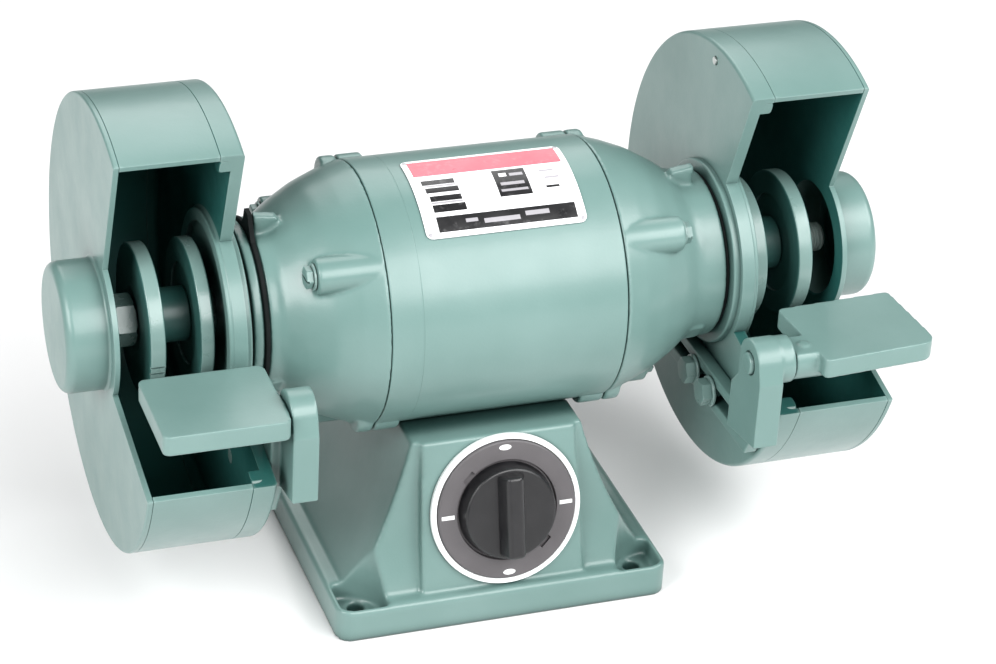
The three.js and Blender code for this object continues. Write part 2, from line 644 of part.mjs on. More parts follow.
// The open sector at the operator's side, from outside the rim down to a round hub.
function mouth(hubRadius, start, end) {
  const near = lowerEdgeAt(hubRadius);
  const far = lowerEdgeAt(1.3 * GUARD_RADIUS);
  const upper = around(1.3 * GUARD_RADIUS, MOUTH_UPPER_ANGLE);
  const beyond = around(2 * GUARD_RADIUS, 25);
  const shape = new THREE.Shape();
  shape.moveTo(...near);
  shape.lineTo(...far);
  shape.lineTo(...beyond);
  shape.lineTo(...upper);
  const lowerAngle = 2 * Math.PI + Math.atan2(near[1], near[0]);
  shape.absarc(0, 0, hubRadius, Math.PI - radians(MOUTH_UPPER_ANGLE), lowerAngle);
  return solid(alongX(shape, start, end, 8));
}

function guardDish(sideName, side) {
  const [inner, outer] = [GUARD_RADIUS - GUARD_WALL, GUARD_RADIUS];
  const profile = [[COLLAR_FACE, DISH_BORE], [COLLAR_FACE, COLLAR_RADIUS], [DISH_FACE, COLLAR_RADIUS],
    [DISH_FACE, outer - 2], [DISH_FACE + 2, outer], [DISH_RIM_END, outer],
    [DISH_RIM_END, inner], [DISH_INSIDE, inner], [DISH_INSIDE, HUB_RING.outer],
    [HUB_RING.end, HUB_RING.outer], [HUB_RING.end, HUB_RING.inner], [DISH_INSIDE, HUB_RING.inner],
    [DISH_INSIDE, DISH_BORE]];
  const ears = DISH_EAR.angles.map((angle) =>
    solid(rod(DISH_INSIDE - 1, DISH_RIM_END, DISH_EAR.radius, ...around(DISH_EAR.circle, angle))));
  const [near, far] = [DISH_FACE - 1, DISH_INSIDE + 1];
  const slotHoles = Object.values(REST_BOLTS).map((y) =>
    solid(rod(near, far, REST_BOLT_SHANK + GAP, y, REST_SLOT.height, SIDES.boss)));
  const screwHoles = Object.values(GUARD_SCREW_ANGLES).map((angle) =>
    solid(rod(near, far, GUARD_SCREW.hole, ...around(GUARD_SCREW_CIRCLE, angle), SIDES.screw)));
  const opening = mouth(DISH_HUB_RADIUS, COLLAR_FACE - 5, DISH_RIM_END + 5);
  const body = join(solid(turnedRing(profile, SIDES.guard)), ...ears);
  const dish = cut(body, opening, ...slotHoles, ...screwHoles);
  return piece(`guard_dish_${sideName}`, dish, enamel, side);
}

function guardBand(sideName, side) {
  const [start, end] = [DISH_RIM_END + GAP, COVER_INNER - GAP];
  const ring = solid(tube(start, end, GUARD_RADIUS - GUARD_WALL, GUARD_RADIUS, SIDES.guard));
  const band = cut(ring, mouth(COVER_HUB_RADIUS, start - 5, end + 5));
  return piece(`guard_band_${sideName}`, band, enamel, side);
}

function guardCover(sideName, side) {
  const [inner, outer] = [COVER_INNER, COVER_INNER + COVER_PLATE];
  const profile = [[CAP_END, 0], [CAP_END, CAP_RADIUS - 4], [CAP_END - 4, CAP_RADIUS], [outer, CAP_RADIUS],
    [outer, GUARD_RADIUS], [inner, GUARD_RADIUS], [inner, CAP_RADIUS - 3], [CAP_END - 3, CAP_RADIUS - 3],
    [CAP_END - 3, 0]];
  const cover = cut(solid(turned(profile, SIDES.guard)), mouth(COVER_HUB_RADIUS, inner - 5, outer + 0.5));
  return piece(`guard_cover_${sideName}`, cover, enamel, side);
}

function guardGasket(sideName, side) {
  const ring = tube(BELL_FLANGE_FACE + GAP, COLLAR_FACE - GAP, GASKET.inner, GASKET.outer, SIDES.flange);
  return piece(`guard_gasket_${sideName}`, ring, rubber, side);
}

function guardScrew(name, side, angle) {
  const at = around(GUARD_SCREW_CIRCLE, angle);
  const { head, headHeight, shank } = GUARD_SCREW;
  const cap = solid(rod(DISH_FACE - headHeight, DISH_FACE - GAP, head, ...at));
  const stem = solid(rod(DISH_FACE - 1, DISH_INSIDE, shank, ...at, SIDES.screw));
  return piece(name, join(cap, stem), steel, side);
}

// ---- wheel flanges and nuts ---------------------------------------------------------------------
const flangeBore = SHAFT_WHEEL + GAP;

function innerFlange(sideName, side) {
  const relief = WHEEL_SEAT - FLANGE_RELIEF;
  const profile = [[WHEEL_SHOULDER + GAP, flangeBore], [WHEEL_SHOULDER + GAP, 15], [FLANGE_INNER_FACE, 15],
    [FLANGE_INNER_FACE, FLANGE_RADIUS], [WHEEL_SEAT, FLANGE_RADIUS],
    [WHEEL_SEAT, FLANGE_RELIEF_RADIUS], [relief, FLANGE_RELIEF_RADIUS], [relief, flangeBore]];
  return piece(`flange_inner_${sideName}`, turnedRing(profile, SIDES.flange), enamelledSteel, side);
}

function outerFlange(sideName, side) {
  const relief = WHEEL_OUTER_SEAT + FLANGE_RELIEF;
  const [seat, face] = [WHEEL_OUTER_SEAT, FLANGE_OUTER_FACE];
  const profile = [[relief, flangeBore], [relief, FLANGE_RELIEF_RADIUS], [seat, FLANGE_RELIEF_RADIUS],
    [seat, FLANGE_RADIUS], [face, FLANGE_RADIUS], [face, flangeBore]];
  return piece(`flange_outer_${sideName}`, turnedRing(profile, SIDES.flange), enamelledSteel, side);
}

function wheelSpacer(sideName, side) {
  const start = WHEEL_SEAT - FLANGE_RELIEF + GAP;
  const end = WHEEL_OUTER_SEAT + FLANGE_RELIEF - GAP;
  const ring = tube(start, end, flangeBore, SPACER_RADIUS, SIDES.shaft);
  return piece(`wheel_spacer_${sideName}`, ring, enamelledSteel, side);
}

function spindleNut(sideName, side) {
  const start = FLANGE_OUTER_FACE + GAP;
  const hex = solid(hexRod(start, start + NUT_LENGTH, NUT_ACROSS_FLATS));
  const bore = solid(rod(start - 1, start + NUT_LENGTH + 1, flangeBore, 0, 0, SIDES.shaft));
  return piece(`spindle_nut_${sideName}`, cut(hex, bore), steel, side);
}

// ---- tool rests ---------------------------------------------------------------------------------
function roundedSlot({ front, rear, height, halfWidth }) {
  const shape = new THREE.Shape();
  shape.absarc(rear - halfWidth, height, halfWidth, -Math.PI / 2, Math.PI / 2);
  shape.absarc(front + halfWidth, height, halfWidth, Math.PI / 2, 1.5 * Math.PI);
  shape.closePath();
  return shape;
}

// The upright arm widens into a boss for the table pin and runs down into the slotted plate.
function restArm() {
  const [pivotY, pivotZ] = REST_PIVOT;
  const rearTop = pivotY + REST_BOSS_RADIUS;
  const shape = new THREE.Shape();
  shape.moveTo(REST_ARM_FRONT, REST_ARM_FOOT);
  shape.lineTo(REST_ARM_REAR, REST_ARM_FOOT - 6);
  shape.lineTo(REST_ARM_REAR, REST_ARM_STEP.low);
  shape.lineTo(rearTop, REST_ARM_STEP.high);
  shape.lineTo(rearTop, pivotZ);
  shape.absarc(pivotY, pivotZ, REST_BOSS_RADIUS, 0, 0.93 * Math.PI);
  shape.quadraticCurveTo(REST_ARM_FRONT, pivotZ - 4, REST_ARM_FRONT, pivotZ - 16);
  shape.closePath();
  return solid(alongX(shape, REST_ARM_INNER, REST_ARM_OUTER, 6));
}

function restPlate() {
  const shape = outline([[REST_PLATE_FRONT, REST_ARM_FOOT], [REST_ARM_REAR, REST_PLATE_BOTTOM],
    [REST_PLATE_REAR - 4, REST_PLATE_BOTTOM], [REST_PLATE_REAR, REST_PLATE_BOTTOM + 4],
    [REST_PLATE_REAR, REST_PLATE_TOP], [REST_ARM_REAR + 22, REST_PLATE_TOP],
    [REST_ARM_REAR - 2, REST_ARM_STEP.low], [REST_PLATE_FRONT, REST_ARM_STEP.high - 1]]);
  const plate = solid(alongX(shape, REST_PLATE_INNER, REST_PLATE_OUTER));
  return cut(plate, solid(alongX(roundedSlot(REST_SLOT), REST_PLATE_INNER - 1, REST_PLATE_OUTER + 1, 4)));
}

// A blend in plan between the thick arm and the thinner plate.
function restWeb() {
  const [near, far] = [REST_ARM_REAR - 1, REST_ARM_REAR + 4];
  const plan = outline([[REST_ARM_INNER, near], [REST_PLATE_INNER + 1, near], [REST_PLATE_INNER + 1, far]]);
  return solid(alongZ(plan, REST_ARM_FOOT - 5, REST_ARM_STEP.low - 2));
}

function restBracket(sideName, side) {
  const bossEnd = REST_BOSS_OUTER[sideName];
  const boss = solid(rod(REST_ARM_INNER, bossEnd, REST_BOSS_RADIUS - 0.4, ...REST_PIVOT, SIDES.shaft));
  const pinHole = rod(REST_ARM_INNER - 1, bossEnd + 1, REST_PIN_RADIUS + GAP, ...REST_PIVOT, SIDES.shaft);
  const screwHole = rodAlongY(0, REST_BOSS_RADIUS + 5, CLAMP_SCREW.shank + GAP);
  screwHole.translate(CLAMP_SCREW.x, ...REST_PIVOT);
  const shape = cut(join(restArm(), restPlate(), restWeb(), boss), solid(pinHole), solid(screwHole));
  return piece(`rest_bracket_${sideName}`, shape, enamel, side);
}

function restTable(sideName, side) {
  const { bottom, top } = REST_TABLE;
  const plan = REST_TABLE_PLAN[sideName];
  const start = Math.max(plan[0][0], plan[3][0]);
  const slab = solid(alongZ(outline(plan), bottom, top));
  const pin = solid(rod(REST_ARM_INNER - 2, start + 2, REST_PIN_RADIUS, ...REST_PIVOT, SIDES.shaft));
  const hubStart = REST_BOSS_OUTER[sideName] + GAP;
  const hub = solid(rod(hubStart, start + 6, REST_BOSS_RADIUS - 1.5, ...REST_PIVOT, SIDES.shaft));
  const level = solid(block([start - 30, -200, REST_PIVOT[1] - 20], [start + 30, 0, top]));
  return piece(`rest_table_${sideName}`, join(slab, pin, hub.intersect(level)), enamel, side);
}

// Holds the table's pin from behind the boss.
function clampScrew(sideName, side) {
  const { x, shank, head, headHeight } = CLAMP_SCREW;
  const seat = REST_BOSS_RADIUS + GAP;
  const stem = solid(rodAlongY(REST_PIN_RADIUS + 1, seat + 1, shank));
  const cap = solid(rodAlongY(seat, seat + headHeight, head, head, SIDES.screw));
  const shape = join(stem, cap).translate([x, ...REST_PIVOT]);
  return piece(`rest_clamp_screw_${sideName}`, shape, steel, side);
}

function restBolt(name, side, y) {
  const face = REST_PLATE_INNER;
  const z = REST_SLOT.height;
  const { acrossFlats, start, end, washer: radius } = REST_BOLT_HEAD;
  const washer = solid(rod(face - end - 0.1, face - GAP, radius, y, z));
  const head = solid(hexRod(face - start, face - end, acrossFlats, y, z));
  const shank = rod(face - 1, DISH_INSIDE, REST_BOLT_SHANK, y, z, SIDES.screw);
  return piece(name, join(washer, head, solid(shank)), enamelledSteel, side);
}

function toolRest(sideName, side) {
  const group = new THREE.Group();
  group.position.y = REST_SHIFT[sideName];
  group.add(restBracket(sideName, side), restTable(sideName, side), clampScrew(sideName, side));
  return group;
}

// ---- assembly -----------------------------------------------------------------------------------
function wheelSide(sideName, side) {
  const group = new THREE.Group();
  group.add(endBell(`end_bell_${sideName}`, side), ...bearing(sideName, side));
  group.add(guardDish(sideName, side), guardBand(sideName, side), guardCover(sideName, side));
  group.add(guardGasket(sideName, side), innerFlange(sideName, side), outerFlange(sideName, side));
  group.add(wheelSpacer(sideName, side), spindleNut(sideName, side), toolRest(sideName, side));
  for (const { name, at } of lugs) group.add(bellScrew(`bell_screw_${name}_${sideName}`, side, at));
  for (const [place, angle] of Object.entries(GUARD_SCREW_ANGLES)) {
    group.add(guardScrew(`guard_screw_${place}_${sideName}`, side, angle));
  }
  for (const [place, y] of Object.entries(REST_BOLTS)) {
    group.add(restBolt(`rest_bolt_${place}_${sideName}`, side, y));
  }
  return group;
}

function head() {
  const group = new THREE.Group();
  group.position.z = SPINDLE_HEIGHT;
  group.add(motorBarrel(), nameplate(), statorCore(), statorWinding(), rotorCore(), spindle(), neckSeal());
  group.add(wheelSide('left', -1), wheelSide('right', 1));
  return group;
}

const grinder = new THREE.Group();
grinder.name = 'bench_grinder';
grinder.add(baseCasting(), baseCoverPlate(), cableGland(), capacitor(), switchGroup(), head());

export default grinder;
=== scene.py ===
"""Looks of a bench grinder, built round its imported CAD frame.

Shapes are drawn in millimetres in the head's own frame: X runs outwards along the spindle, Y away from
the operator and Z up from the spindle, or from the bench for the base. Angles about the spindle open
upwards from the operator's side. piece() brings every finished shape to metres and to the row frame.
"""

import json
import math

import bmesh
import bpy
from mathutils import Matrix, Vector


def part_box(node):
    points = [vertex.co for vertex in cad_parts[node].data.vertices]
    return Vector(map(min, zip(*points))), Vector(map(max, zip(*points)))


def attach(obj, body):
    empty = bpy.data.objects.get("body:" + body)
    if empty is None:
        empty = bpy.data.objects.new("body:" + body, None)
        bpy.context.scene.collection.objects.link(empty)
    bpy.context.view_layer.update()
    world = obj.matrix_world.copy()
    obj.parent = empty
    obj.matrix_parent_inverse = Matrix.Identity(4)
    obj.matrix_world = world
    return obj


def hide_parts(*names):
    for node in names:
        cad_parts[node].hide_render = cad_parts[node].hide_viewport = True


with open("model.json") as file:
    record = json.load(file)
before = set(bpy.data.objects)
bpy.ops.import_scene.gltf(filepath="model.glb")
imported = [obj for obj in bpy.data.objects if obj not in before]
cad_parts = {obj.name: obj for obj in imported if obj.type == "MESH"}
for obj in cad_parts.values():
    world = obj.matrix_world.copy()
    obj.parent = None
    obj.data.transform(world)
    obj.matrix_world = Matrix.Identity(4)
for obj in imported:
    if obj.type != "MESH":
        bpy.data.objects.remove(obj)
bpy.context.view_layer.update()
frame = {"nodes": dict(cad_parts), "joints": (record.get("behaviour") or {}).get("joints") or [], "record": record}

MM = 0.001
JOINTS = {joint["name"]: joint for joint in frame["joints"]}
SPINDLE = Vector(JOINTS["spindle_spin"]["pos_m"])
SIDES = {"left": -1, "right": 1}


def extent(node, corner, axis):
    """One coordinate of a CAD node's box, in millimetres from the spindle."""
    return (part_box(node)[corner][axis] - SPINDLE[axis]) / MM


def reach(node):
    """How far a right-hand CAD node lies outwards: its nearest and farthest x."""
    return extent(node, 0, 0), extent(node, 1, 0)


# ---- driving sizes ------------------------------------------------------------------------------
SPINDLE_HEIGHT = SPINDLE.z / MM
BARREL_HALF, BARREL_RADIUS, BARREL_BORE = reach("motor_barrel")[1], 71, 66
BELL_RIM, BELL_FACE = reach("end_bell_right")
NECK_RADIUS, NECK_FLANGE = 43.5, 46
WEB_END, WEB_ANGLE, PAD_ANGLE = 121.6, 84, -38
SEAL_GROOVE = (121.9, 124.9)
SEAM_COVER = {-1: 0.2, 1: 0.06}
BARREL_LINE = 47
LUG = {"circle": 61.5, "radius": 9.5, "end": 100}
LUG_ANGLES = {"front": 40, "rear": 160, "bottom": -80}
EAR = {"angles": (126, -56), "circle": 62, "radius": 12, "start": 50.5, "end": 74}

GUARD_RADIUS, GUARD_WALL = 120, 3.4
DISH_COLLAR, DISH_RIM = reach("guard_dish_right")
DISH_FACE, COLLAR_RADIUS, DISH_BORE = DISH_COLLAR + 3.4, 51, 15.6
DISH_INSIDE = DISH_FACE + 6.5
HUB_RING = {"inner": 47, "outer": 54, "end": 145.5}
DISH_EAR = {"angles": (71.5, -22.5), "circle": 112.2, "radius": 6.8}
COVER_INNER, CAP_END = reach("guard_cover_right")
COVER_PLATE, CAP_RADIUS = 3, 34.5
DISH_HUB, COVER_HUB = 54.5, 42.5
MOUTH_TOP = 68.5
MOUTH_LOWER = Vector((-36, -22.5)), Vector((-113.5, -39))
MOUTH_BOTTOM = -18.9
GUARD_SCREWS = {"upper": 94, "lower": -46}
GUARD_SCREW_CIRCLE = 111

FLANGE_RADIUS, FLANGE_BORE, FLANGE_SEAT, FLANGE_RELIEF = 40, 8.3, 27, 1.4
SHAFT_WHEEL, SPACER_RADIUS, NUT_FLATS = 8, 14.5, 24
REST_PIVOT = Vector((-108, -4.5))
REST_BOSS = 13
PLATE_INNER, PLATE_OUTER = 128, DISH_FACE - 0.3
ARM_INNER, ARM_OUTER, BOSS_END = 116.5, 130, {"left": 130, "right": 138}
TABLE = {"bottom": -8.5, "top": 2.5}
TABLE_PLAN = {
    "left": [(131.2, -126, 4), (196.2, -126, 3.5), (196.2, -69, 3.5), (131.2, -69, 5)],
    "right": [(151.5, -127, 3), (217.5, -122, 9), (213.5, -66.5, 2.5), (147.5, -70, 3)],
}
SLOT_HEIGHT = -63.3
REST_BOLTS = {"front": -44, "rear": -20}
REST_BOLT_FLATS, ARM_FOOT = 13, -48
SLOT_ENDS, SLOT_RADIUS = (-78.4, 16.4), 4.6
LABEL_ANGLES, LABEL_MARGIN, LABEL_ROUNDING = (93.4, 48.3), 0.035, 3.5

BASE = {"half": 93.5, "front": -87, "rear": 97, "corner": 9, "rim": 19.4, "top": 101, "half_top": 47.5}
PANEL = {"bottom": (-81, 19.4), "top": (-60, 101), "back": -40, "half_top": 43, "half_bottom": 46}
POCKET = {"inset": 5.5, "radius": 22.5, "post": 29, "floor": 9, "curb": 3}
BENCH_HOLE = {"inset": (14.5, 19), "radius": 4.5}
GLAND = {"x": -42, "z": 10.4, "flats": 15.5, "bore": 3.6, "hole": 6.2}
STEM_HOLE = 6.5
DIAL = {"ring_outer": 42, "ring_inner": 39, "plate": 38.7, "recess": 27.6, "height": 4.2, "ring_height": 3}
KNOB = {"radius": 26.8, "crown": 24.8, "base": 2.4, "top": 11.5, "grip": (46, 15.5, 8.5), "grip_top": 20.5}


# ---- shapes -------------------------------------------------------------------------------------
def polar(radius, angle):
    """(y, z) on a circle about the spindle."""
    turn = math.radians(angle)
    return Vector((-radius * math.cos(turn), radius * math.sin(turn)))


def about_spindle(angle):
    """Turns what stands straight up from the spindle to the angle."""
    return Matrix.Rotation(math.radians(90 - angle), 4, "X")


def radial(vector):
    """The part of a point or a normal that lies across the spindle."""
    return Vector((vector.y, vector.z))


def filleted(corners, steps=6):
    """Closed outline through (u, v) or (u, v, radius) corners, with an arc where a radius is given."""
    points = []
    for i, corner in enumerate(corners):
        here = Vector(corner[:2])
        radius = corner[2] if len(corner) > 2 else 0
        if not radius:
            points.append(here)
            continue
        before = (Vector(corners[i - 1][:2]) - here).normalized()
        after = (Vector(corners[(i + 1) % len(corners)][:2]) - here).normalized()
        half = before.angle(after) / 2
        centre = here + (before + after).normalized() * (radius / math.sin(half))
        first = here + before * (radius / math.tan(half)) - centre
        last = here + after * (radius / math.tan(half)) - centre
        sweep = first.angle_signed(last)
        for step in range(steps + 1):
            turn = Matrix.Rotation(-sweep * step / steps, 2)
            points.append(centre + turn @ first)
    return points


def arc(radius, start, end, steps=48, centre=(0, 0)):
    """Points (y, z) along a circle about the spindle, or about a centre beside it."""
    return [Vector(centre) + polar(radius, start + (end - start) * i / steps) for i in range(steps + 1)]


def revolved(profile, segments=96, start=0, sweep=360):
    """Solid turned about the spindle from (x, radius) points, closed on the axis or on itself."""
    shape = bmesh.new()
    whole = sweep == 360
    rings = []
    for i in range(segments if whole else segments + 1):
        angle = start + sweep * i / segments
        rings.append([shape.verts.new((x, *polar(radius, angle))) for x, radius in profile])
    count = len(profile)
    on_axis = profile[0][1] < 1e-6
    for i, ring in enumerate(rings if whole else rings[:-1]):
        beside = rings[(i + 1) % len(rings)]
        for j in range(count - 1 if on_axis else count):
            k = (j + 1) % count
            shape.faces.new((ring[j], ring[k], beside[k], beside[j]))
    if not whole:
        shape.faces.new(rings[0])
        shape.faces.new(rings[-1])
    bmesh.ops.dissolve_degenerate(shape, edges=shape.edges, dist=1e-5)
    bmesh.ops.remove_doubles(shape, verts=shape.verts, dist=1e-4)
    bmesh.ops.recalc_face_normals(shape, faces=shape.faces)
    return shape


def prism(outline, low, high, axis="X"):
    """Outline extruded along X from (y, z), along Y from (x, z) or along Z from (x, y)."""
    place = {
        "X": lambda u, v, w: (w, u, v),
        "Y": lambda u, v, w: (u, w, v),
        "Z": lambda u, v, w: (u, v, w),
    }[axis]
    shape = bmesh.new()
    bottom = [shape.verts.new(place(u, v, low)) for u, v in outline]
    top = [shape.verts.new(place(u, v, high)) for u, v in outline]
    shape.faces.new(bottom)
    shape.faces.new(top)
    for i in range(len(outline)):
        k = (i + 1) % len(outline)
        shape.faces.new((bottom[i], bottom[k], top[k], top[i]))
    bmesh.ops.recalc_face_normals(shape, faces=shape.faces)
    return shape


def ring(start, end, inner, outer, edge, steps=3):
    """Ring about the spindle with softened outer edges."""
    profile = [(start, inner), (start, outer, edge), (end, outer, edge), (end, inner)]
    return revolved(filleted(profile, steps))


def rod(start, end, radius, at=(0, 0), edge=0.0, segments=48):
    """Cylinder along X with softened ends."""
    profile = filleted([(start, 0), (start, radius, edge), (end, radius, edge), (end, 0)], 3)
    shape = revolved(profile, segments)
    bmesh.ops.translate(shape, vec=(0, *at), verts=shape.verts)
    return shape


def upright(radius, x, y, bottom, top, segments=64):
    """Cylinder along Z."""
    outline = [(x + radius * math.cos(t), y + radius * math.sin(t)) for t in turns(segments)]
    return prism(outline, bottom, top, "Z")


def turns(count):
    return [2 * math.pi * i / count for i in range(count)]


def hexagon(flats, at=(0, 0)):
    radius = flats / math.sqrt(3)
    return [(at[0] + radius * math.cos(t), at[1] + radius * math.sin(t)) for t in turns(6)]


def rectangle(u0, u1, v0, v1, radius=0.0, steps=6):
    return filleted([(u0, v0, radius), (u1, v0, radius), (u1, v1, radius), (u0, v1, radius)], steps)


def as_mesh(shape, name="work"):
    """Turns a shape into a mesh and lets go of it."""
    mesh = bpy.data.meshes.new(name)
    shape.to_mesh(mesh)
    shape.free()
    return mesh


def linked(name, data):
    """A new object in the scene."""
    item = bpy.data.objects.new(name, data)
    bpy.context.scene.collection.objects.link(item)
    return item


def gathered(*shapes):
    """Several shapes as one."""
    whole = bmesh.new()
    for shape in shapes:
        mesh = as_mesh(shape)
        whole.from_mesh(mesh)
        bpy.data.meshes.remove(mesh)
    return whole


def discard(item):
    mesh = item.data
    bpy.data.objects.remove(item)
    bpy.data.meshes.remove(mesh)


def modified(shape, *steps):
    """The shape after modifiers, each step being (type, settings)."""
    item = linked("work", as_mesh(shape))
    for kind, settings in steps:
        modifier = item.modifiers.new(kind, kind)
        for name, value in settings.items():
            setattr(modifier, name, value)
    bpy.context.view_layer.update()
    result = bmesh.new()
    result.from_object(item, bpy.context.evaluated_depsgraph_get())
    discard(item)
    return result


def combined(operation, first, others):
    """The first shape after an exact boolean with each of the others."""
    tools = [linked("work", as_mesh(other)) for other in others]
    steps = [("BOOLEAN", {"operation": operation, "solver": "EXACT", "object": tool}) for tool in tools]
    result = modified(first, *steps)
    for tool in tools:
        discard(tool)
    return result


def cut(first, *others):
    return combined("DIFFERENCE", first, others)


def joined(first, *others):
    return combined("UNION", first, others)


def common(first, *others):
    return combined("INTERSECT", first, others)


def bevelled(shape, width, segments=3, angle=38):
    """Edges sharper than the angle are rounded."""
    limit = {"limit_method": "ANGLE", "angle_limit": math.radians(angle)}
    return modified(shape, ("BEVEL", {"width": width, "segments": segments, **limit}))


def merged(shape):
    """Joins the flat facets that a cut leaves, so that a bevel runs cleanly along their edges."""
    bmesh.ops.remove_doubles(shape, verts=shape.verts, dist=0.05)
    bmesh.ops.dissolve_limit(shape, angle_limit=math.radians(0.4), verts=shape.verts, edges=shape.edges)
    return shape


# ---- materials ----------------------------------------------------------------------------------
def add(tree, kind, inputs=None, **settings):
    """A shader node, with each input set to a value or linked to a socket."""
    node = tree.nodes.new(kind)
    for name, value in settings.items():
        setattr(node, name, value)
    for name, value in (inputs or {}).items():
        if isinstance(value, bpy.types.NodeSocket):
            tree.links.new(value, node.inputs[name])
        else:
            node.inputs[name].default_value = value
    return node


def mixed(tree, factor, first, second, blend="MIX"):
    """Colour between two others."""
    node = add(tree, "ShaderNodeMix", {0: factor}, data_type="RGBA", blend_type=blend)
    for socket, value in ((node.inputs[6], first), (node.inputs[7], second)):
        if isinstance(value, bpy.types.NodeSocket):
            tree.links.new(value, socket)
        else:
            socket.default_value = (*value, 1)
    return node.outputs[2]


def ranged(tree, value, low, high, to_low=0.0, to_high=1.0):
    inputs = {"Value": value, "From Min": low, "From Max": high, "To Min": to_low, "To Max": to_high}
    return add(tree, "ShaderNodeMapRange", inputs).outputs["Result"]


def noise(tree, where, scale, detail=3.0, roughness=0.5):
    inputs = {"Vector": where, "Scale": scale, "Detail": detail, "Roughness": roughness}
    return add(tree, "ShaderNodeTexNoise", inputs).outputs["Fac"]


def bumped(tree, height, distance, under=None, strength=1.0):
    inputs = {"Height": height, "Distance": distance, "Strength": strength}
    if under is not None:
        inputs["Normal"] = under
    return add(tree, "ShaderNodeBump", inputs).outputs["Normal"]


def blank_material(name, constants):
    """A material with its tree, its shader and the coordinates of the piece itself."""
    material = bpy.data.materials.new(name)
    material.use_nodes = True
    tree = material.node_tree
    shader = tree.nodes["Principled BSDF"]
    for socket, value in constants.items():
        shader.inputs[socket].default_value = value
    where = add(tree, "ShaderNodeTexCoord").outputs["Object"]
    return material, tree, shader, where


def surfaced(tree, shader, colour, roughness, normal):
    """Links what varies over a surface to its shader."""
    for socket, value in (("Base Color", colour), ("Roughness", roughness), ("Normal", normal)):
        tree.links.new(value, shader.inputs[socket])


def enamel(name, light, deep, crevice_shade_colour, gloss=(0.34, 0.46), coat=0.3):
    """Stoved enamel over a casting: soft waves, fine orange peel, painted shade in corners and creases, and pale
    edges that are partly paint worn thin and partly a painted highlight.
    """
    constants = {"Coat Weight": coat, "Coat Roughness": 0.22, "Specular IOR Level": 0.5, "Metallic": 0.0}
    material, tree, shader, where = blank_material(name, constants)
    cloud = ranged(tree, noise(tree, where, 14, 4), 0.35, 0.65)
    colour = mixed(tree, cloud, light, deep)
    dust = ranged(tree, noise(tree, where, 420, 2, 0.7), 0.7, 0.85, 0.0, 0.2)
    colour = mixed(tree, dust, colour, (0.2, 0.28, 0.26))
    # Painted shade: the colour darkens towards the crevice shade colour where ambient occlusion finds corners and
    # creases.
    hollow = add(tree, "ShaderNodeAmbientOcclusion", {"Distance": 0.012}, samples=8)
    shade = ranged(tree, hollow.outputs["AO"], 0.35, 0.8, 0.85, 0.0)
    colour = mixed(tree, shade, colour, crevice_shade_colour)
    # Pale edges: partly paint worn thin on convex edges and partly a painted highlight along them.
    ridge = add(tree, "ShaderNodeAmbientOcclusion", {"Distance": 0.0025}, samples=8, inside=True)
    broken = noise(tree, where, 90, 3)
    edge = ranged(tree, ridge.outputs["AO"], 0.3, 0.62, 0.75, 0.0)
    thin_paint_and_highlight = add(tree, "ShaderNodeMath", {0: edge, 1: broken}, operation="MULTIPLY")
    colour = mixed(tree, thin_paint_and_highlight.outputs[0], colour, (0.27, 0.37, 0.35))
    smear = ranged(tree, noise(tree, where, 30, 5, 0.6), 0.3, 0.7, *gloss)
    waves = bumped(tree, noise(tree, where, 38, 2), 0.0009, strength=0.35)
    peel = bumped(tree, noise(tree, where, 650, 2), 0.00008, waves, 0.6)
    surfaced(tree, shader, colour, smear, peel)
    return material


def machined(name, colour, tarnish, roughness, ring_scale, metallic=1.0):
    """Turned or drawn metal: fine rings across X, a little tarnish and small scratches."""
    constants = {"Metallic": metallic, "Anisotropic": 0.4}
    material, tree, shader, where = blank_material(name, constants)
    stains = ranged(tree, noise(tree, where, 55, 6, 0.65), 0.42, 0.72)
    stained = mixed(tree, stains, colour, tarnish)
    inputs = {"Vector": where, "Scale": ring_scale, "Distortion": 1.5, "Detail": 3, "Detail Scale": 4}
    rings = add(tree, "ShaderNodeTexWave", inputs, wave_type="BANDS", bands_direction="X")
    worn = ranged(tree, noise(tree, where, 240, 4), 0.3, 0.7, roughness, roughness + 0.16)
    grooves = bumped(tree, rings.outputs["Fac"], 0.00004, strength=0.5)
    scratches = bumped(tree, noise(tree, where, 900, 2), 0.00003, grooves, 0.5)
    surfaced(tree, shader, stained, worn, scratches)
    return material


def moulded(name, colour, worn, roughness, grain=900, coat=0.0, shine=0.5):
    """Moulded plastic or rubber: spark-eroded grain, hand grease and a paler bloom on the edges."""
    constants = {"Coat Weight": coat, "Coat Roughness": 0.2, "Specular IOR Level": shine}
    material, tree, shader, where = blank_material(name, constants)
    bloom = ranged(tree, noise(tree, where, 60, 5, 0.6), 0.4, 0.75, 0.0, 0.55)
    shade = mixed(tree, bloom, colour, worn)
    ridge = add(tree, "ShaderNodeAmbientOcclusion", {"Distance": 0.001}, samples=8, inside=True)
    edge = ranged(tree, ridge.outputs["AO"], 0.3, 0.65, 0.5, 0.0)
    shade = mixed(tree, edge, shade, worn)
    grease = ranged(tree, noise(tree, where, 120, 4), 0.3, 0.7, roughness - 0.06, roughness + 0.12)
    texture = bumped(tree, noise(tree, where, grain, 2), 0.00006, strength=0.6)
    surfaced(tree, shader, shade, grease, texture)
    return material


def laminated(name, colour, gap):
    """Stacked steel sheets, seen as fine dark lines across X."""
    material, tree, shader, where = blank_material(name, {"Metallic": 0.8})
    inputs = {"Vector": where, "Scale": 310, "Distortion": 0.4, "Detail": 2}
    sheets = add(tree, "ShaderNodeTexWave", inputs, wave_type="BANDS", bands_direction="X").outputs["Fac"]
    varnish = ranged(tree, noise(tree, where, 70, 4), 0.3, 0.7, 0.35, 0.6)
    surfaced(tree, shader, mixed(tree, sheets, gap, colour), varnish, bumped(tree, sheets, 0.0001))
    return material


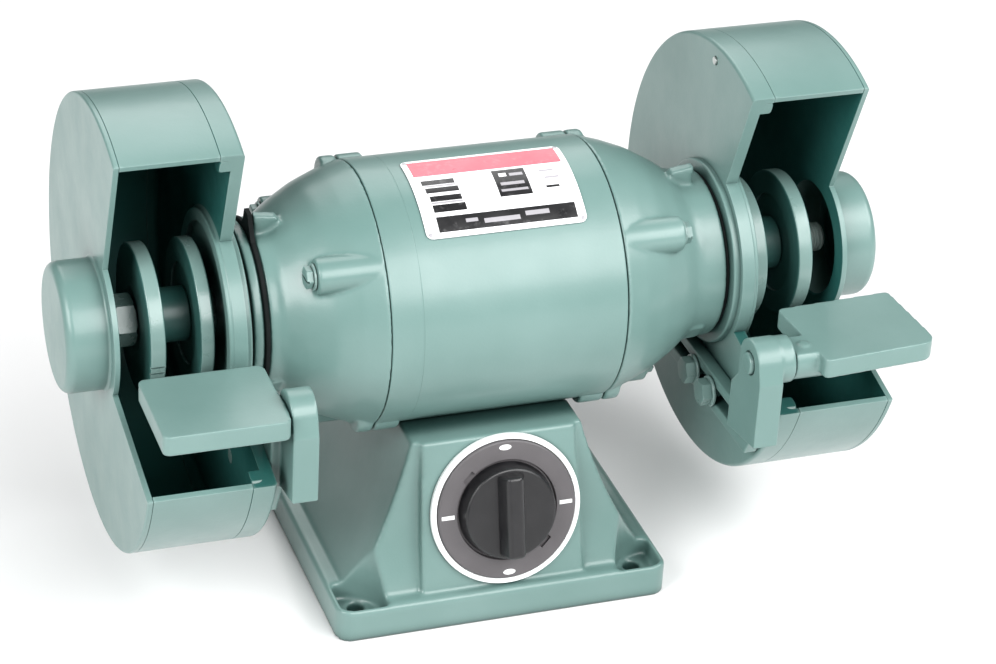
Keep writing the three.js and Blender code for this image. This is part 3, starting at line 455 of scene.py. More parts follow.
def printed(name, colour, roughness=0.35):
    """Screen print on sheet metal, slightly uneven and rubbed thin in places."""
    material, tree, shader, where = blank_material(name, {"Coat Weight": 0.3, "Coat Roughness": 0.1})
    rubbed = ranged(tree, noise(tree, where, 190, 5, 0.65), 0.55, 0.8, 0.0, 0.5)
    faded = tuple(0.75 * c + 0.18 for c in colour)
    sheen = ranged(tree, noise(tree, where, 80, 3), 0.3, 0.7, roughness - 0.1, roughness + 0.1)
    grain = bumped(tree, noise(tree, where, 500, 2), 0.00004)
    surfaced(tree, shader, mixed(tree, rubbed, colour, faded), sheen, grain)
    return material


# The third colour of each enamel is its painted shade for corners and creases.
GREEN = enamel("green_enamel", (0.132, 0.222, 0.206), (0.108, 0.194, 0.178), (0.004, 0.03, 0.026))
# Near-black green for the guards' inner faces: painted shade for the unlit inside of each guard.
GUARD_PAINTED_SHADE = enamel(
    "guard_painted_shade", (0.014, 0.1, 0.09), (0.01, 0.08, 0.07), (0.006, 0.055, 0.048), (0.45, 0.7), 0.05
)
FLANGE_GREEN = enamel(
    "flange_enamel", (0.16, 0.25, 0.232), (0.125, 0.205, 0.19), (0.01, 0.045, 0.04), (0.22, 0.36)
)
# Dark teal painted shade for the flat faces of the flanges and for the spacers.
FLANGE_FACE_SHADE = enamel(
    "flange_shade_paint", (0.03, 0.1, 0.09), (0.02, 0.075, 0.067), (0.004, 0.03, 0.026), (0.4, 0.55), 0.1
)
STEEL = machined("bright_steel", (0.62, 0.63, 0.62), (0.4, 0.4, 0.38), 0.22, 260)
DULL_ZINC = machined("dull_zinc", (0.3, 0.37, 0.35), (0.18, 0.25, 0.23), 0.4, 420, 0.35)
ZINC = machined("zinc_steel", (0.66, 0.69, 0.68), (0.44, 0.47, 0.44), 0.3, 420)
LAMINATION = laminated("lamination_steel", (0.28, 0.29, 0.31), (0.03, 0.03, 0.035))
COPPER = machined("copper_winding", (0.55, 0.2, 0.08), (0.3, 0.1, 0.04), 0.35, 700)
BLACK = moulded("black_plastic", (0.005, 0.005, 0.006), (0.016, 0.015, 0.017), 0.36, 700, 0.1)
GREY = moulded("grey_plastic", (0.08, 0.074, 0.078), (0.1, 0.093, 0.098), 0.45, 1100)
WHITE = moulded("white_plastic", (0.86, 0.88, 0.88), (0.76, 0.78, 0.76), 0.32, 1000)
RUBBER = moulded("black_rubber", (0.004, 0.006, 0.006), (0.012, 0.014, 0.014), 0.75, 1200, 0, 0.15)
LABEL_WHITE = printed("label_white", (0.86, 0.86, 0.87))
LABEL_RED = printed("label_red", (0.5, 0.085, 0.12))
LABEL_BLACK = printed("label_black", (0.008, 0.008, 0.009))
LABEL_GREY = printed("label_grey", (0.32, 0.31, 0.33))

# ---- finished pieces ----------------------------------------------------------------------------
BODY_OF = {node: body for body, nodes in frame["record"]["behaviour"]["bodies"].items() for node in nodes}
SLOT_OF = {part["node"]: part["material_slot"] for part in frame["record"]["subparts"]}
AT_SPINDLE = Matrix.Translation((0, 0, SPINDLE_HEIGHT))
ON_BENCH = Matrix.Identity(4)


def piece(node, shape, *materials, side=1, place=AT_SPINDLE, crease=42, weighted=True):
    """Finishes a shape as the visible form of a CAD node; side -1 mirrors it to the left."""
    bmesh.ops.dissolve_degenerate(shape, dist=0.002, edges=shape.edges)
    bmesh.ops.recalc_face_normals(shape, faces=shape.faces)
    shape.transform(Matrix.Scale(MM, 4) @ place @ Matrix.Diagonal((side, 1, 1, 1)))
    if shape.calc_volume(signed=True) < 0:
        bmesh.ops.reverse_faces(shape, faces=shape.faces)
    mesh = as_mesh(shape, node + "_look")
    for polygon in mesh.polygons:
        polygon.use_smooth = True
    mesh.set_sharp_from_angle(angle=math.radians(crease))
    for material in materials:
        mesh.materials.append(material)
    item = linked(node + "_look", mesh)
    if weighted:
        item.modifiers.new("normals", "WEIGHTED_NORMAL").keep_sharp = True
    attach(item, BODY_OF[node])
    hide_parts(node)


def casting(node, shape, voxel, smoothing, side=1, place=AT_SPINDLE):
    """Finishes a shape as a green casting: overlapping bodies flow together and every edge is soft."""
    remesh = {"mode": "VOXEL", "voxel_size": voxel, "use_smooth_shade": True}
    soft = modified(shape, ("REMESH", remesh), ("SMOOTH", {"factor": 0.5, "iterations": smoothing}))
    piece(node, soft, GREEN, side=side, place=place, crease=180, weighted=False)


def paint_shade_on_faces(shape, is_inside):
    """Gives the second material, a painted shade, to the faces that the test picks."""
    shape.normal_update()
    for face in shape.faces:
        face.material_index = 1 if is_inside(face.calc_center_median(), face.normal) else 0
    return shape


# ---- base ---------------------------------------------------------------------------------------
def flare(half_width, half_top, rim, top, bend):
    """One side of the pedestal's outline, from the bench up to its top, with a concave flare."""
    start, end = Vector((half_width - 9, rim)), Vector((half_top, top))
    control = Vector(bend)
    curve = []
    for i in range(25):
        t = i / 24
        curve.append(start * (1 - t) ** 2 + control * 2 * t * (1 - t) + end * t * t)
    return [Vector((half_width, 0)), Vector((half_width, rim - 2)), Vector((half_width - 2, rim)), *curve]


def base_pedestal():
    """The flared block, cut out of its front view, its side view and its plan."""
    half, front, rear, rim, top = (BASE[key] for key in ("half", "front", "rear", "rim", "top"))
    right = flare(half, BASE["half_top"], rim, top, (59, 57.8))
    front_view = right + [Vector((-p.x, p.y)) for p in reversed(right)]
    behind = flare(rear, 60, rim, top, (67, 50))
    ahead = [Vector((-p.x, p.y)) for p in flare(-front, 57.5, rim, top, (63, 50))]
    return common(
        prism(front_view, front - 5, rear + 5, "Y"),
        prism(behind + list(reversed(ahead)), -2 * half, 2 * half),
        prism(rectangle(-half, half, front, rear, BASE["corner"]), -1, top + 1, "Z"),
    )


def base_panel():
    """The slanted block that carries the switch."""
    rim, top, back = BASE["rim"], BASE["top"], PANEL["back"]
    foot, crest = PANEL["half_bottom"], PANEL["half_top"]
    face = [(-foot, rim), (foot, rim), (crest, top), (-crest, top)]
    slope = [PANEL["bottom"], PANEL["top"], (back, top), (back, rim)]
    return common(prism(face, BASE["front"], back, "Y"), prism(slope, -foot - 1, foot + 1))


def base_hollow(corners):
    """The room under the casting, less a post round each corner pocket."""
    half, front, rear = BASE["half"], BASE["front"], BASE["rear"]
    across = [(-86, -1), (86, -1), (86, 10), (77, 13), (40, 84), (-40, 84), (-77, 13), (-86, 10)]
    along = [(-80, -1), (90, -1), (90, 10), (80, 13), (50, 84), (-50, 84), (-71, 13), (-80, 10)]
    room = common(prism(across, front, rear, "Y"), prism(along, -half, half))
    return cut(room, *[upright(POCKET["post"], x, y, -2, BASE["top"]) for x, y in corners])


def base_pockets(corners):
    """Round sunken corners, kept behind a curb along the rim."""
    half, front, rear, top = BASE["half"], BASE["front"], BASE["rear"], BASE["top"]
    curb, floor_level = POCKET["curb"], POCKET["floor"]
    inside = rectangle(curb - half, half - curb, front + curb, rear - curb, BASE["corner"] - curb)
    return [
        common(upright(POCKET["radius"], x, y, floor_level, top), prism(inside, floor_level, top, "Z"))
        for x, y in corners
    ]


def base_holes():
    """Bench bolts, the barrel's saddle, the gland's hole and the switch stem's hole."""
    half, front, rear, rim = BASE["half"], BASE["front"], BASE["rear"], BASE["rim"]
    saddle = rod(-80, 80, BARREL_RADIUS + 0.3, (0, SPINDLE_HEIGHT), segments=128)
    radius = GLAND["hole"]
    circle = [(GLAND["x"] + radius * math.cos(t), GLAND["z"] + radius * math.sin(t)) for t in turns(32)]
    gland_hole = prism(circle, rear - 16, rear + 4, "Y")
    stem_hole = rod(-20, 20, STEM_HOLE, segments=64)
    stem_hole.transform(panel_place())
    dx, dy = BENCH_HOLE["inset"]
    bench_holes = [
        upright(BENCH_HOLE["radius"], x, y, -1, rim, 32)
        for x in (dx - half, half - dx)
        for y in (front + dy, rear - dy)
    ]
    return saddle, gland_hole, stem_hole, bench_holes


def base_casting():
    inset = POCKET["inset"]
    corners = [
        (x, y)
        for x in (BASE["half"] - inset, inset - BASE["half"])
        for y in (BASE["front"] + inset, BASE["rear"] - inset)
    ]
    saddle, gland_hole, stem_hole, bench_holes = base_holes()
    solid = joined(base_pedestal(), base_panel())
    openings = [base_hollow(corners), saddle, gland_hole, stem_hole, *base_pockets(corners), *bench_holes]
    casting("base_casting", cut(solid, *openings), 1.15, 7, place=ON_BENCH)


def cable_gland():
    """Flanged bush with a hexagon to hold it by, drawn along X and turned to the rear."""
    bore, rear = GLAND["bore"], BASE["rear"]
    nose = filleted([
        (rear - 14, bore), (rear - 14, 5.9), (rear + 0.3, 5.9), (rear + 0.3, 7.4, 0.6),
        (rear + 6.3, 7.4, 0.8), (rear + 6.8, 6.5), (rear + 12.2, 5, 1.2), (rear + 12.2, bore, 0.6),
    ], 4)
    flats = cut(prism(hexagon(GLAND["flats"]), rear + 0.4, rear + 5.6), rod(rear - 1, rear + 7, bore + 0.5))
    shape = joined(revolved(nose, 64), flats)
    turn = Matrix.Translation((GLAND["x"], 0, GLAND["z"])) @ Matrix.Rotation(math.pi / 2, 4, "Z")
    piece("cable_gland", bevelled(shape, 0.35, 2), BLACK, place=turn)


# ---- switch, drawn along X and then turned out of the panel -------------------------------------
def panel_place():
    """From X out of the panel and Z up its slope to the row frame, in millimetres."""
    outward = -Vector(JOINTS["switch_turn"]["axis"])
    if outward.y > 0:
        outward.negate()
    across = Vector((1, 0, 0))
    up = outward.cross(across)
    centre = Vector(JOINTS["switch_turn"]["pos_m"]) / MM
    turn = Matrix((outward, across, up)).transposed().to_4x4()
    return Matrix.Translation(centre) @ turn


def switch_bezel():
    inner, outer, end = DIAL["ring_inner"], DIAL["ring_outer"], DIAL["ring_height"]
    profile = filleted([(0.3, inner), (0.3, outer), (end, outer, 1.1), (end, inner, 0.5)], 5)
    piece("switch_bezel", revolved(profile, 160), WHITE, place=panel_place())


def wedge(inner, outer, angle, half_inner, half_outer, start, end):
    """A radial mark on the dial, with its own half angle at each end."""
    corners = [
        polar_up(inner, angle - half_inner), polar_up(outer, angle - half_outer),
        polar_up(outer, angle + half_outer), polar_up(inner, angle + half_inner),
    ]
    return prism(corners, start, end)


def switch_plate():
    """Dial with a sunken middle, two notches in its step and four white marks."""
    recess, edge, height = DIAL["recess"], DIAL["plate"], DIAL["height"]
    disc = filleted([
        (0.3, STEM_HOLE), (0.3, edge), (height, edge, 1.2),
        (height, recess + 0.4, 0.5), (2, recess), (2, STEM_HOLE),
    ], 4)
    notches = [wedge(recess - 2, recess + 3.2, angle, 9, 7, 2.2, height + 1) for angle in (135, -45)]
    plate = cut(revolved(disc, 160), *notches)
    low, high = height - 0.4, height + 0.15
    marks = [wedge(recess + 2, edge - 2, angle, 2.2, 1.6, low, high) for angle in (0, 180)]
    marks += [prism(oval(polar_up(edge - 3.6, angle), 3.4, 1.5), low, high) for angle in (90, -90)]
    ink = gathered(*marks)
    for face in ink.faces:
        face.material_index = 1
    piece("switch_plate", gathered(plate, ink), GREY, WHITE, place=panel_place())


def switch_knob():
    """Drum with a tapered grip bar across it, on the stem that goes through the panel."""
    length, foot, crest = KNOB["grip"]
    base, top, grip_top = KNOB["base"], KNOB["top"], KNOB["grip_top"]
    drum = revolved(filleted([
        (base, 0), (base, KNOB["radius"], 0.4), (top - 1.5, KNOB["crown"] + 0.6),
        (top, KNOB["crown"], 1.6), (top, 0),
    ], 4), 128)
    section = [(-foot / 2, top - 1), (foot / 2, top - 1), (crest / 2, grip_top), (-crest / 2, grip_top)]
    grip = prism(section, -length / 2, length / 2, "Z")
    grip.transform(Matrix(((0, 1, 0, 0), (1, 0, 0, 0), (0, 0, 1, 0), (0, 0, 0, 1))))
    bmesh.ops.reverse_faces(grip, faces=grip.faces)
    grip = common(bevelled(grip, 2.2, 4, 20), rod(top - 2, grip_top + 1, length / 2, edge=1.5, segments=96))
    stem = rod(-14.3, base + 1, 4.5)
    piece("switch_knob", joined(drum, grip, stem), BLACK, place=panel_place(), crease=50)


def polar_up(radius, angle):
    """(across, up) on the dial; the angle opens anticlockwise from three o'clock."""
    turn = math.radians(angle)
    return Vector((radius * math.cos(turn), radius * math.sin(turn)))


def oval(centre, width, height, count=32):
    """Ellipse from its two half axes."""
    return [(centre[0] + width * math.cos(t), centre[1] + height * math.sin(t)) for t in turns(count)]


# ---- motor --------------------------------------------------------------------------------------
def lug_centre(place):
    return polar(LUG["circle"], LUG_ANGLES[place])


def motor_barrel():
    """Turned shell with a fine line round its left side, and the pads that meet the bells' ears."""
    half, line = BARREL_HALF, BARREL_LINE
    wall = filleted([
        (-half, BARREL_BORE), (-half, BARREL_RADIUS, 0.8), (-line - 0.6, BARREL_RADIUS),
        (-line - 0.3, BARREL_RADIUS - 0.2), (-line, BARREL_RADIUS),
        (half, BARREL_RADIUS, 0.8), (half, BARREL_BORE),
    ], 4)
    pads = [
        rod(start, end, EAR["radius"], polar(EAR["circle"], angle), 1.6)
        for angle in EAR["angles"]
        for start, end in ((-half, -EAR["start"]), (EAR["start"], half))
    ]
    shell = joined(revolved(wall, 160), *pads)
    piece("motor_barrel", bevelled(shell, 0.6, 3, 50), GREEN, crease=50)


def bell_profile(side):
    """(x, radius) round the bell's wall; only the left neck has the seal's groove."""
    rim, face, flange = BELL_RIM - SEAM_COVER[side], BELL_FACE, NECK_FLANGE
    outer = [(rim, 71, 0.4), (78, 67, 30), (91, 61.8, 40), (104.5, 54, 30), (114.5, 46.8, 12)]
    if side < 0:
        start, end = SEAL_GROOVE
        outer += [(start, 46.2, 0.4), (start, NECK_RADIUS), (end, NECK_RADIUS), (end, flange, 0.4)]
    outer += [(face, flange, 0.8)]
    seat_end, seat_start, seat_radius = 126.4, 109, 23.8
    inner = [(face, 13), (seat_end, 13), (seat_end, seat_radius), (seat_start, seat_radius)]
    inner += [(107, 43.5), (90, 56.5), (rim, 66.3)]
    return filleted(outer + inner, 6)


def end_bell(name, side):
    """Hollow bell with long screw lugs, short ears on the seam, and a pad and a web on the neck."""
    parts = [revolved(bell_profile(side), 144)]
    parts += [rod(BELL_RIM, LUG["end"], LUG["radius"], lug_centre(place), 0.8) for place in LUG_ANGLES]
    for angle in EAR["angles"]:
        parts.append(rod(BELL_RIM, EAR["end"], EAR["radius"], polar(EAR["circle"], angle), 1.5))
    pad = prism(rectangle(112, WEB_END, -7, 7, 2.5), 36, NECK_FLANGE + 1.6, "Z")
    pad.transform(about_spindle(PAD_ANGLE))
    web_side = [(104, 46), (109.5, 55.5), (WEB_END, 57.5), (WEB_END, 40), (112, 38)]
    web = prism(web_side, -3, 3, "Y")
    web.transform(about_spindle(WEB_ANGLE))
    parts += [pad, web]
    shell = cut(joined(*parts), *[
        rod(BELL_RIM - 1, LUG["end"] + 1, 3, lug_centre(place), segments=24) for place in LUG_ANGLES
    ])
    casting(name, shell, 0.95, 7, side)


def bell_screw(name, side, place):
    """Slotted hex screw and its washer, on the end of a lug."""
    at = lug_centre(place)
    end = LUG["end"]
    washer = rod(end + 0.3, end + 1.5, 7, at, 0.3)
    head = bevelled(prism(hexagon(10.4, at), end + 1.4, end + 5.3), 0.6, 2)
    shank = rod(56, end + 1, 2.7, at, 0.3, 24)
    slot = prism(rectangle(at.x - 6, at.x + 6, at.y - 0.7, at.y + 0.7), end + 4, end + 6)
    piece(name, joined(washer, cut(head, slot), shank), GREEN, side=side)


def neck_seal():
    """Rubber ring in the groove of the left neck, with a pointed tab on top."""
    low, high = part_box("neck_seal_left")
    start, end = -high.x / MM, -low.x / MM
    band = ring(start, end, NECK_RADIUS + 0.3, 47.3, 0.6)
    corners = [(46, 70), (53, 80), (57.5, 83), (57.5, 90), (50, 93), (46, 99)]
    tab = prism([polar(radius, angle) for radius, angle in corners], start, end)
    piece("neck_seal_left", joined(band, tab), RUBBER, side=-1)


# Left, right, top and bottom of each block as shares of the label, and its ink; later blocks lie on top.
LABEL_BLOCKS = (
    (0.0, 1.0, 0.0, 0.27, 1),
    (0.03, 0.25, 0.34, 0.41, 2), (0.04, 0.26, 0.45, 0.52, 2), (0.05, 0.26, 0.56, 0.63, 2),
    (0.05, 0.27, 0.67, 0.76, 2), (0.04, 0.25, 0.415, 0.44, 3), (0.05, 0.26, 0.635, 0.66, 3),
    (0.51, 0.73, 0.3, 0.66, 2), (0.55, 0.6, 0.35, 0.4, 0), (0.62, 0.71, 0.36, 0.4, 3),
    (0.54, 0.7, 0.48, 0.52, 3), (0.53, 0.71, 0.57, 0.6, 3), (0.82, 0.92, 0.36, 0.39, 3),
    (0.84, 0.94, 0.46, 0.49, 3), (0.83, 0.92, 0.58, 0.61, 2), (0.05, 0.98, 0.81, 0.98, 2),
    (0.24, 0.32, 0.86, 0.9, 3), (0.36, 0.6, 0.88, 0.93, 3), (0.64, 0.8, 0.85, 0.9, 3),
)


def in_margin(share):
    """A share of the printed area as a share of the whole plate."""
    return LABEL_MARGIN + share * (1 - 2 * LABEL_MARGIN)


def ink_between(u0, u1, v0, v1):
    """The ink of the last block that covers the middle of a cell, or plain white."""
    u = ((u0 + u1) / 2 - LABEL_MARGIN) / (1 - 2 * LABEL_MARGIN)
    v = ((v0 + v1) / 2 - LABEL_MARGIN) / (1 - 2 * LABEL_MARGIN)
    ink = 0
    for left, right, above, below, colour in LABEL_BLOCKS:
        if left < u < right and above < v < below:
            ink = colour
    return ink


def label_lines(height):
    """Where the grid's columns and rows run: at the blocks' edges, round the bend and in the corners."""
    across = {0, 1} | {in_margin(u) for block in LABEL_BLOCKS for u in block[:2]}
    down = {i / 36 for i in range(37)} | {in_margin(v) for block in LABEL_BLOCKS for v in block[2:4]}
    for depth in (0.05, 0.2, 0.5, 1):
        near = depth * LABEL_ROUNDING / height
        down |= {near, 1 - near}
    return sorted(across), sorted(down)


def walled(shape, front, back):
    """Closes the gap between two equal grids of points all the way round."""
    last_row, last_column = len(front) - 1, len(front[0]) - 1
    border = [(0, j) for j in range(last_column)] + [(i, last_column) for i in range(last_row)]
    border += [(last_row, j) for j in range(last_column, 0, -1)] + [(i, 0) for i in range(last_row, 0, -1)]
    for k, (i, j) in enumerate(border):
        m, n = border[(k + 1) % len(border)]
        shape.faces.new((front[i][j], front[m][n], back[m][n], back[i][j]))


def nameplate():
    """Curved plate whose print is a grid of plain blocks."""
    low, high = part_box("nameplate")
    x0, x1 = low.x / MM, high.x / MM
    angle_top, angle_bottom = LABEL_ANGLES
    height = BARREL_RADIUS * math.radians(angle_top - angle_bottom)
    inner, outer = BARREL_RADIUS + 0.3, BARREL_RADIUS + 0.9
    across, down = label_lines(height)
    shape = bmesh.new()

    def corner(u, v, radius):
        short = max(LABEL_ROUNDING - min(v, 1 - v) * height, 0)
        inset = LABEL_ROUNDING - math.sqrt(LABEL_ROUNDING ** 2 - short ** 2)
        x = x0 + inset + u * (x1 - x0 - 2 * inset)
        return shape.verts.new((x, *polar(radius, angle_top + v * (angle_bottom - angle_top))))

    front, back = [[[corner(u, v, radius) for u in across] for v in down] for radius in (outer, inner)]
    for sheet in (front, back):
        for i in range(len(down) - 1):
            for j in range(len(across) - 1):
                face = shape.faces.new((sheet[i][j], sheet[i][j + 1], sheet[i + 1][j + 1], sheet[i + 1][j]))
                if sheet is front:
                    face.material_index = ink_between(*across[j:j + 2], *down[i:i + 2])
    walled(shape, front, back)
    bmesh.ops.recalc_face_normals(shape, faces=shape.faces)
    rivets = [
        rivet(x, angle, outer)
        for x in (x0 + 2.2, x1 - 2.2)
        for angle in (angle_top - 1.8, angle_bottom + 1.8)
    ]
    inks = LABEL_WHITE, LABEL_RED, LABEL_BLACK, LABEL_GREY
    piece("nameplate", gathered(shape, *rivets), *inks, crease=30)


def rivet(x, angle, radius):
    """Small domed head on the plate, in grey ink."""
    low, high = radius - 0.8, radius + 0.5
    dome = revolved(filleted([(low, 0), (low, 1.1), (high, 1.1, 0.5), (high, 0)], 4), 24)
    dome.transform(about_spindle(angle) @ Matrix.Rotation(-math.pi / 2, 4, "Y"))
    bmesh.ops.translate(dome, vec=(x, 0, 0), verts=dome.verts)
    for face in dome.faces:
        face.material_index = 3
    return dome


# ---- guards -------------------------------------------------------------------------------------
def lower_edge_at(radius):
    """Where the lower edge of the mouth crosses a circle about the spindle."""
    near, far = MOUTH_LOWER
    step = far - near
    a, b, c = step.dot(step), near.dot(step), near.dot(near) - radius * radius
    return near + step * ((-b + math.sqrt(b * b - a * c)) / a)


def mouth(hub, start, end):
    """The open sector at the operator's side, down to a round hub."""
    near, far = lower_edge_at(hub), lower_edge_at(1.3 * GUARD_RADIUS)
    low_angle = math.degrees(math.atan2(near.y, -near.x))
    outline = [near, far, polar(2 * GUARD_RADIUS, 25), polar(1.3 * GUARD_RADIUS, MOUTH_TOP)]
    return prism(outline + arc(hub, MOUTH_TOP, low_angle, 40)[:-1], start, end)


def guard_dish(name, side):
    """Inner wall with its rim, collar, hub ring and screw ears."""
    inner, outer = GUARD_RADIUS - GUARD_WALL, GUARD_RADIUS
    ring_inner, ring_outer, ring_end = HUB_RING["inner"], HUB_RING["outer"], HUB_RING["end"]
    profile = filleted([
        (DISH_COLLAR, DISH_BORE), (DISH_COLLAR, COLLAR_RADIUS, 1), (DISH_FACE, COLLAR_RADIUS),
        (DISH_FACE, outer, 2), (DISH_RIM, outer, 0.3), (DISH_RIM, inner), (DISH_INSIDE, inner, 3),
        (DISH_INSIDE, ring_outer, 1.5), (ring_end, ring_outer, 0.8), (ring_end, ring_inner, 0.8),
        (DISH_INSIDE, ring_inner, 1), (DISH_INSIDE, DISH_BORE),
    ], 6)
    ears = [
        rod(DISH_INSIDE - 1, DISH_RIM, DISH_EAR["radius"], polar(DISH_EAR["circle"], angle), 1)
        for angle in DISH_EAR["angles"]
    ]
    drills = [(4.2, (y, SLOT_HEIGHT)) for y in REST_BOLTS.values()]
    drills += [(2.6, polar(GUARD_SCREW_CIRCLE, angle)) for angle in GUARD_SCREWS.values()]
    holes = [rod(DISH_FACE - 1, DISH_INSIDE + 1, radius, at, segments=24) for radius, at in drills]
    shape = cut(joined(revolved(profile, 144), *ears), mouth(DISH_HUB, 120, 160), *holes)
    room = DISH_FACE + 4

    # Faces inside the wheel room take the guard's painted shade.
    def inside(point, normal):
        faces_in = normal.x > 0.3 or radial(point).dot(radial(normal)) < -1
        return radial(point).length > ring_outer + 2 and point.x > room and faces_in

    piece(name, paint_shade_on_faces(bevelled(shape, 0.7, 3), inside), GREEN, GUARD_PAINTED_SHADE, side=side)


def guard_band(name, side):
    """The rim between the dish and the cover, open at the mouth."""
    start, end = DISH_RIM + 0.1, COVER_INNER - 0.1
    inner, outer = GUARD_RADIUS - GUARD_WALL, GUARD_RADIUS
    profile = filleted([(start, inner), (start, outer, 0.3), (end, outer, 0.3), (end, inner)], 4)
    shape = revolved(profile, 132, MOUTH_TOP, 360 + MOUTH_BOTTOM - MOUTH_TOP)
    shape = bevelled(shape, 0.7, 3, 60)

    # The band's inner faces take the guard's painted shade.
    def inside(point, normal):
        return radial(point).dot(radial(normal)) < -1 and radial(point).length < inner + 0.3

    piece(name, paint_shade_on_faces(shape, inside), GREEN, GUARD_PAINTED_SHADE, side=side)


def guard_cover(name, side):
    """Flat outer plate with the hub's cap."""
    inner, outer = COVER_INNER, COVER_INNER + COVER_PLATE
    cap_room, cap_bore = CAP_END - 3, CAP_RADIUS - 3
    profile = filleted([
        (CAP_END, 0), (CAP_END, CAP_RADIUS, 5), (outer, CAP_RADIUS, 1.5), (outer, GUARD_RADIUS, 1.2),
        (inner, GUARD_RADIUS, 0.3), (inner, cap_bore, 1), (cap_room, cap_bore, 3), (cap_room, 0),
    ], 6)
    shape = cut(revolved(profile, 144), mouth(COVER_HUB, inner - 5, outer + 0.6))
    room = inner + 1

    # The cover's inner faces and the inside of its cap take the guard's painted shade.
    def inside(point, normal):
        return normal.x < -0.3 and (point.x < room or radial(point).length < cap_bore)

    shape = paint_shade_on_faces(bevelled(merged(shape), 0.7, 3), inside)
    piece(name, shape, GREEN, GUARD_PAINTED_SHADE, side=side)


def guard_gasket(name, side):
    piece(name, ring(*reach("guard_gasket_right"), 14.5, 44.6, 0.3), RUBBER, side=side)


def guard_screw(name, side, angle):
    """Slotted cheese-head screw from the motor's side."""
    at = polar(GUARD_SCREW_CIRCLE, angle)
    head = rod(DISH_FACE - 2.2, DISH_FACE - 0.3, 4.4, at, 1.2, 32)
    slot = prism(rectangle(at.x - 5, at.x + 5, at.y - 0.6, at.y + 0.6), DISH_FACE - 4, DISH_FACE - 1.3)
    shank = rod(DISH_FACE - 1, DISH_INSIDE, 2.2, at, 0.2, 24)
    piece(name, joined(cut(head, slot), shank), ZINC, side=side)


# ---- spindle, flanges and nuts ------------------------------------------------------------------
def spindle():
    """Stepped shaft with a cut thread on each end."""
    end, thin = reach("spindle")[1], SHAFT_WHEEL
    bearing_seat, shoulder, thread_start, pitch = 110.5, 141, 178, 1.75
    half = [(bearing_seat, 12.5), (bearing_seat, 10)]
    half += [(shoulder, 10), (shoulder, thin), (thread_start, thin)]
    for i in range(int((end - 2 - thread_start) / pitch)):
        x = thread_start + i * pitch
        half += [(x + 0.2, thin), (x + pitch / 2, thin - 0.9), (x + pitch - 0.2, thin)]
    half += [(end - 1.5, thin), (end, thin - 1.5), (end, 0)]
    profile = [(-x, radius) for x, radius in reversed(half)] + half
    piece("spindle", revolved(profile, 64), DULL_ZINC)


def shade_flange_faces(shape):
    """Painted shade on the flat faces: a darker copy of the flange enamel than on the rim."""
    return paint_shade_on_faces(shape, lambda point, normal: abs(normal.x) > 0.6)


def flange_inner(name, side):
    """Flange with a hub against the shaft's shoulder and a relief inside its seat."""
    start, seat = reach("flange_inner_right")
    web, relief = 149.5, seat - FLANGE_RELIEF
    profile = filleted([
        (start, FLANGE_BORE), (start, 15, 0.6), (web, 15, 1.5), (web, FLANGE_RADIUS, 1.2),
        (seat, FLANGE_RADIUS, 1.2), (seat, FLANGE_SEAT, 0.3), (relief, FLANGE_SEAT), (relief, FLANGE_BORE),
    ], 5)
    piece(name, shade_flange_faces(revolved(profile, 128)), FLANGE_GREEN, FLANGE_FACE_SHADE, side=side)


def flange_outer(name, side):
    """Loose flange under the nut; the left one has two small nicks in its edge."""
    seat, face = reach("flange_outer_right")
    relief, nut_seat = seat + FLANGE_RELIEF, face - 0.8
    profile = filleted([
        (relief, FLANGE_BORE), (relief, FLANGE_SEAT), (seat, FLANGE_SEAT, 0.3), (seat, FLANGE_RADIUS, 1.2),
        (face, FLANGE_RADIUS, 1.4), (face, 17, 0.6), (nut_seat, 16), (nut_seat, FLANGE_BORE),
    ], 5)
    shape = revolved(profile, 128)
    if side < 0:
        notches = []
        for angle in (-11, -17):
            notch = prism(rectangle(-0.6, 0.6, FLANGE_RADIUS - 0.9, FLANGE_RADIUS + 2), seat - 1, face + 1)
            notch.transform(about_spindle(angle))
            notches.append(notch)
        shape = cut(shape, *notches)
    piece(name, shade_flange_faces(shape), FLANGE_GREEN, FLANGE_FACE_SHADE, side=side)


def wheel_spacer(name, side):
    shape = ring(*reach("wheel_spacer_right"), FLANGE_BORE, SPACER_RADIUS, 0.8, 4)
    # The spacer is wholly in the flanges' painted shade.
    piece(name, shape, FLANGE_FACE_SHADE, side=side)


def spindle_nut(name, side):
    """Hex nut with both ends chamfered to a cone."""
    start, end = reach("spindle_nut_right")
    corner = NUT_FLATS / math.sqrt(3)
    widest = corner + 0.6
    chamfer = revolved([
        (start, 0), (start, corner - 1.2), (start + 1.4, widest),
        (end - 1.4, widest), (end, corner - 1.2), (end, 0),
    ], 96)
    hexagonal = common(prism(hexagon(NUT_FLATS), start, end), chamfer)
    piece(name, cut(hexagonal, rod(start - 1, end + 1, FLANGE_BORE)), FLANGE_GREEN, side=side, crease=25)


# ---- tool rests ---------------------------------------------------------------------------------
def rest_place(side_name):
    """Row frame of a rest, which stands a little off the middle of its travel along Y."""
    pivot = JOINTS[f"rest_tilt_{side_name}"]["pos_m"][1] / MM
    return AT_SPINDLE @ Matrix.Translation((0, pivot - REST_PIVOT.x, 0))


def slot_outline():
    """Long slot with round ends, for the two fixed bolts."""
    outline = []
    for end, way in zip(reversed(SLOT_ENDS), (1, -1)):
        for i in range(17):
            t = math.pi * i / 16
            side = Vector((math.sin(t), -math.cos(t)))
            outline.append(Vector((end, SLOT_HEIGHT)) + way * SLOT_RADIUS * side)
    return outline


def arm_outline():
    """(y, z) round the upright arm, with a round head at the pivot."""
    front, foot, radius = -123.5, ARM_FOOT, REST_BOSS
    y, z = REST_PIVOT
    head = [0.93 * math.pi * i / 24 for i in range(1, 25)]
    outline = [(front, foot), (-88, foot - 6), (-88, -26), (y + radius, -18), (y + radius, z)]
    outline += [Vector((y, z)) + Vector((math.cos(t), math.sin(t))) * radius for t in head]
    return outline + [(front, z - 6), (front, z - 16)]


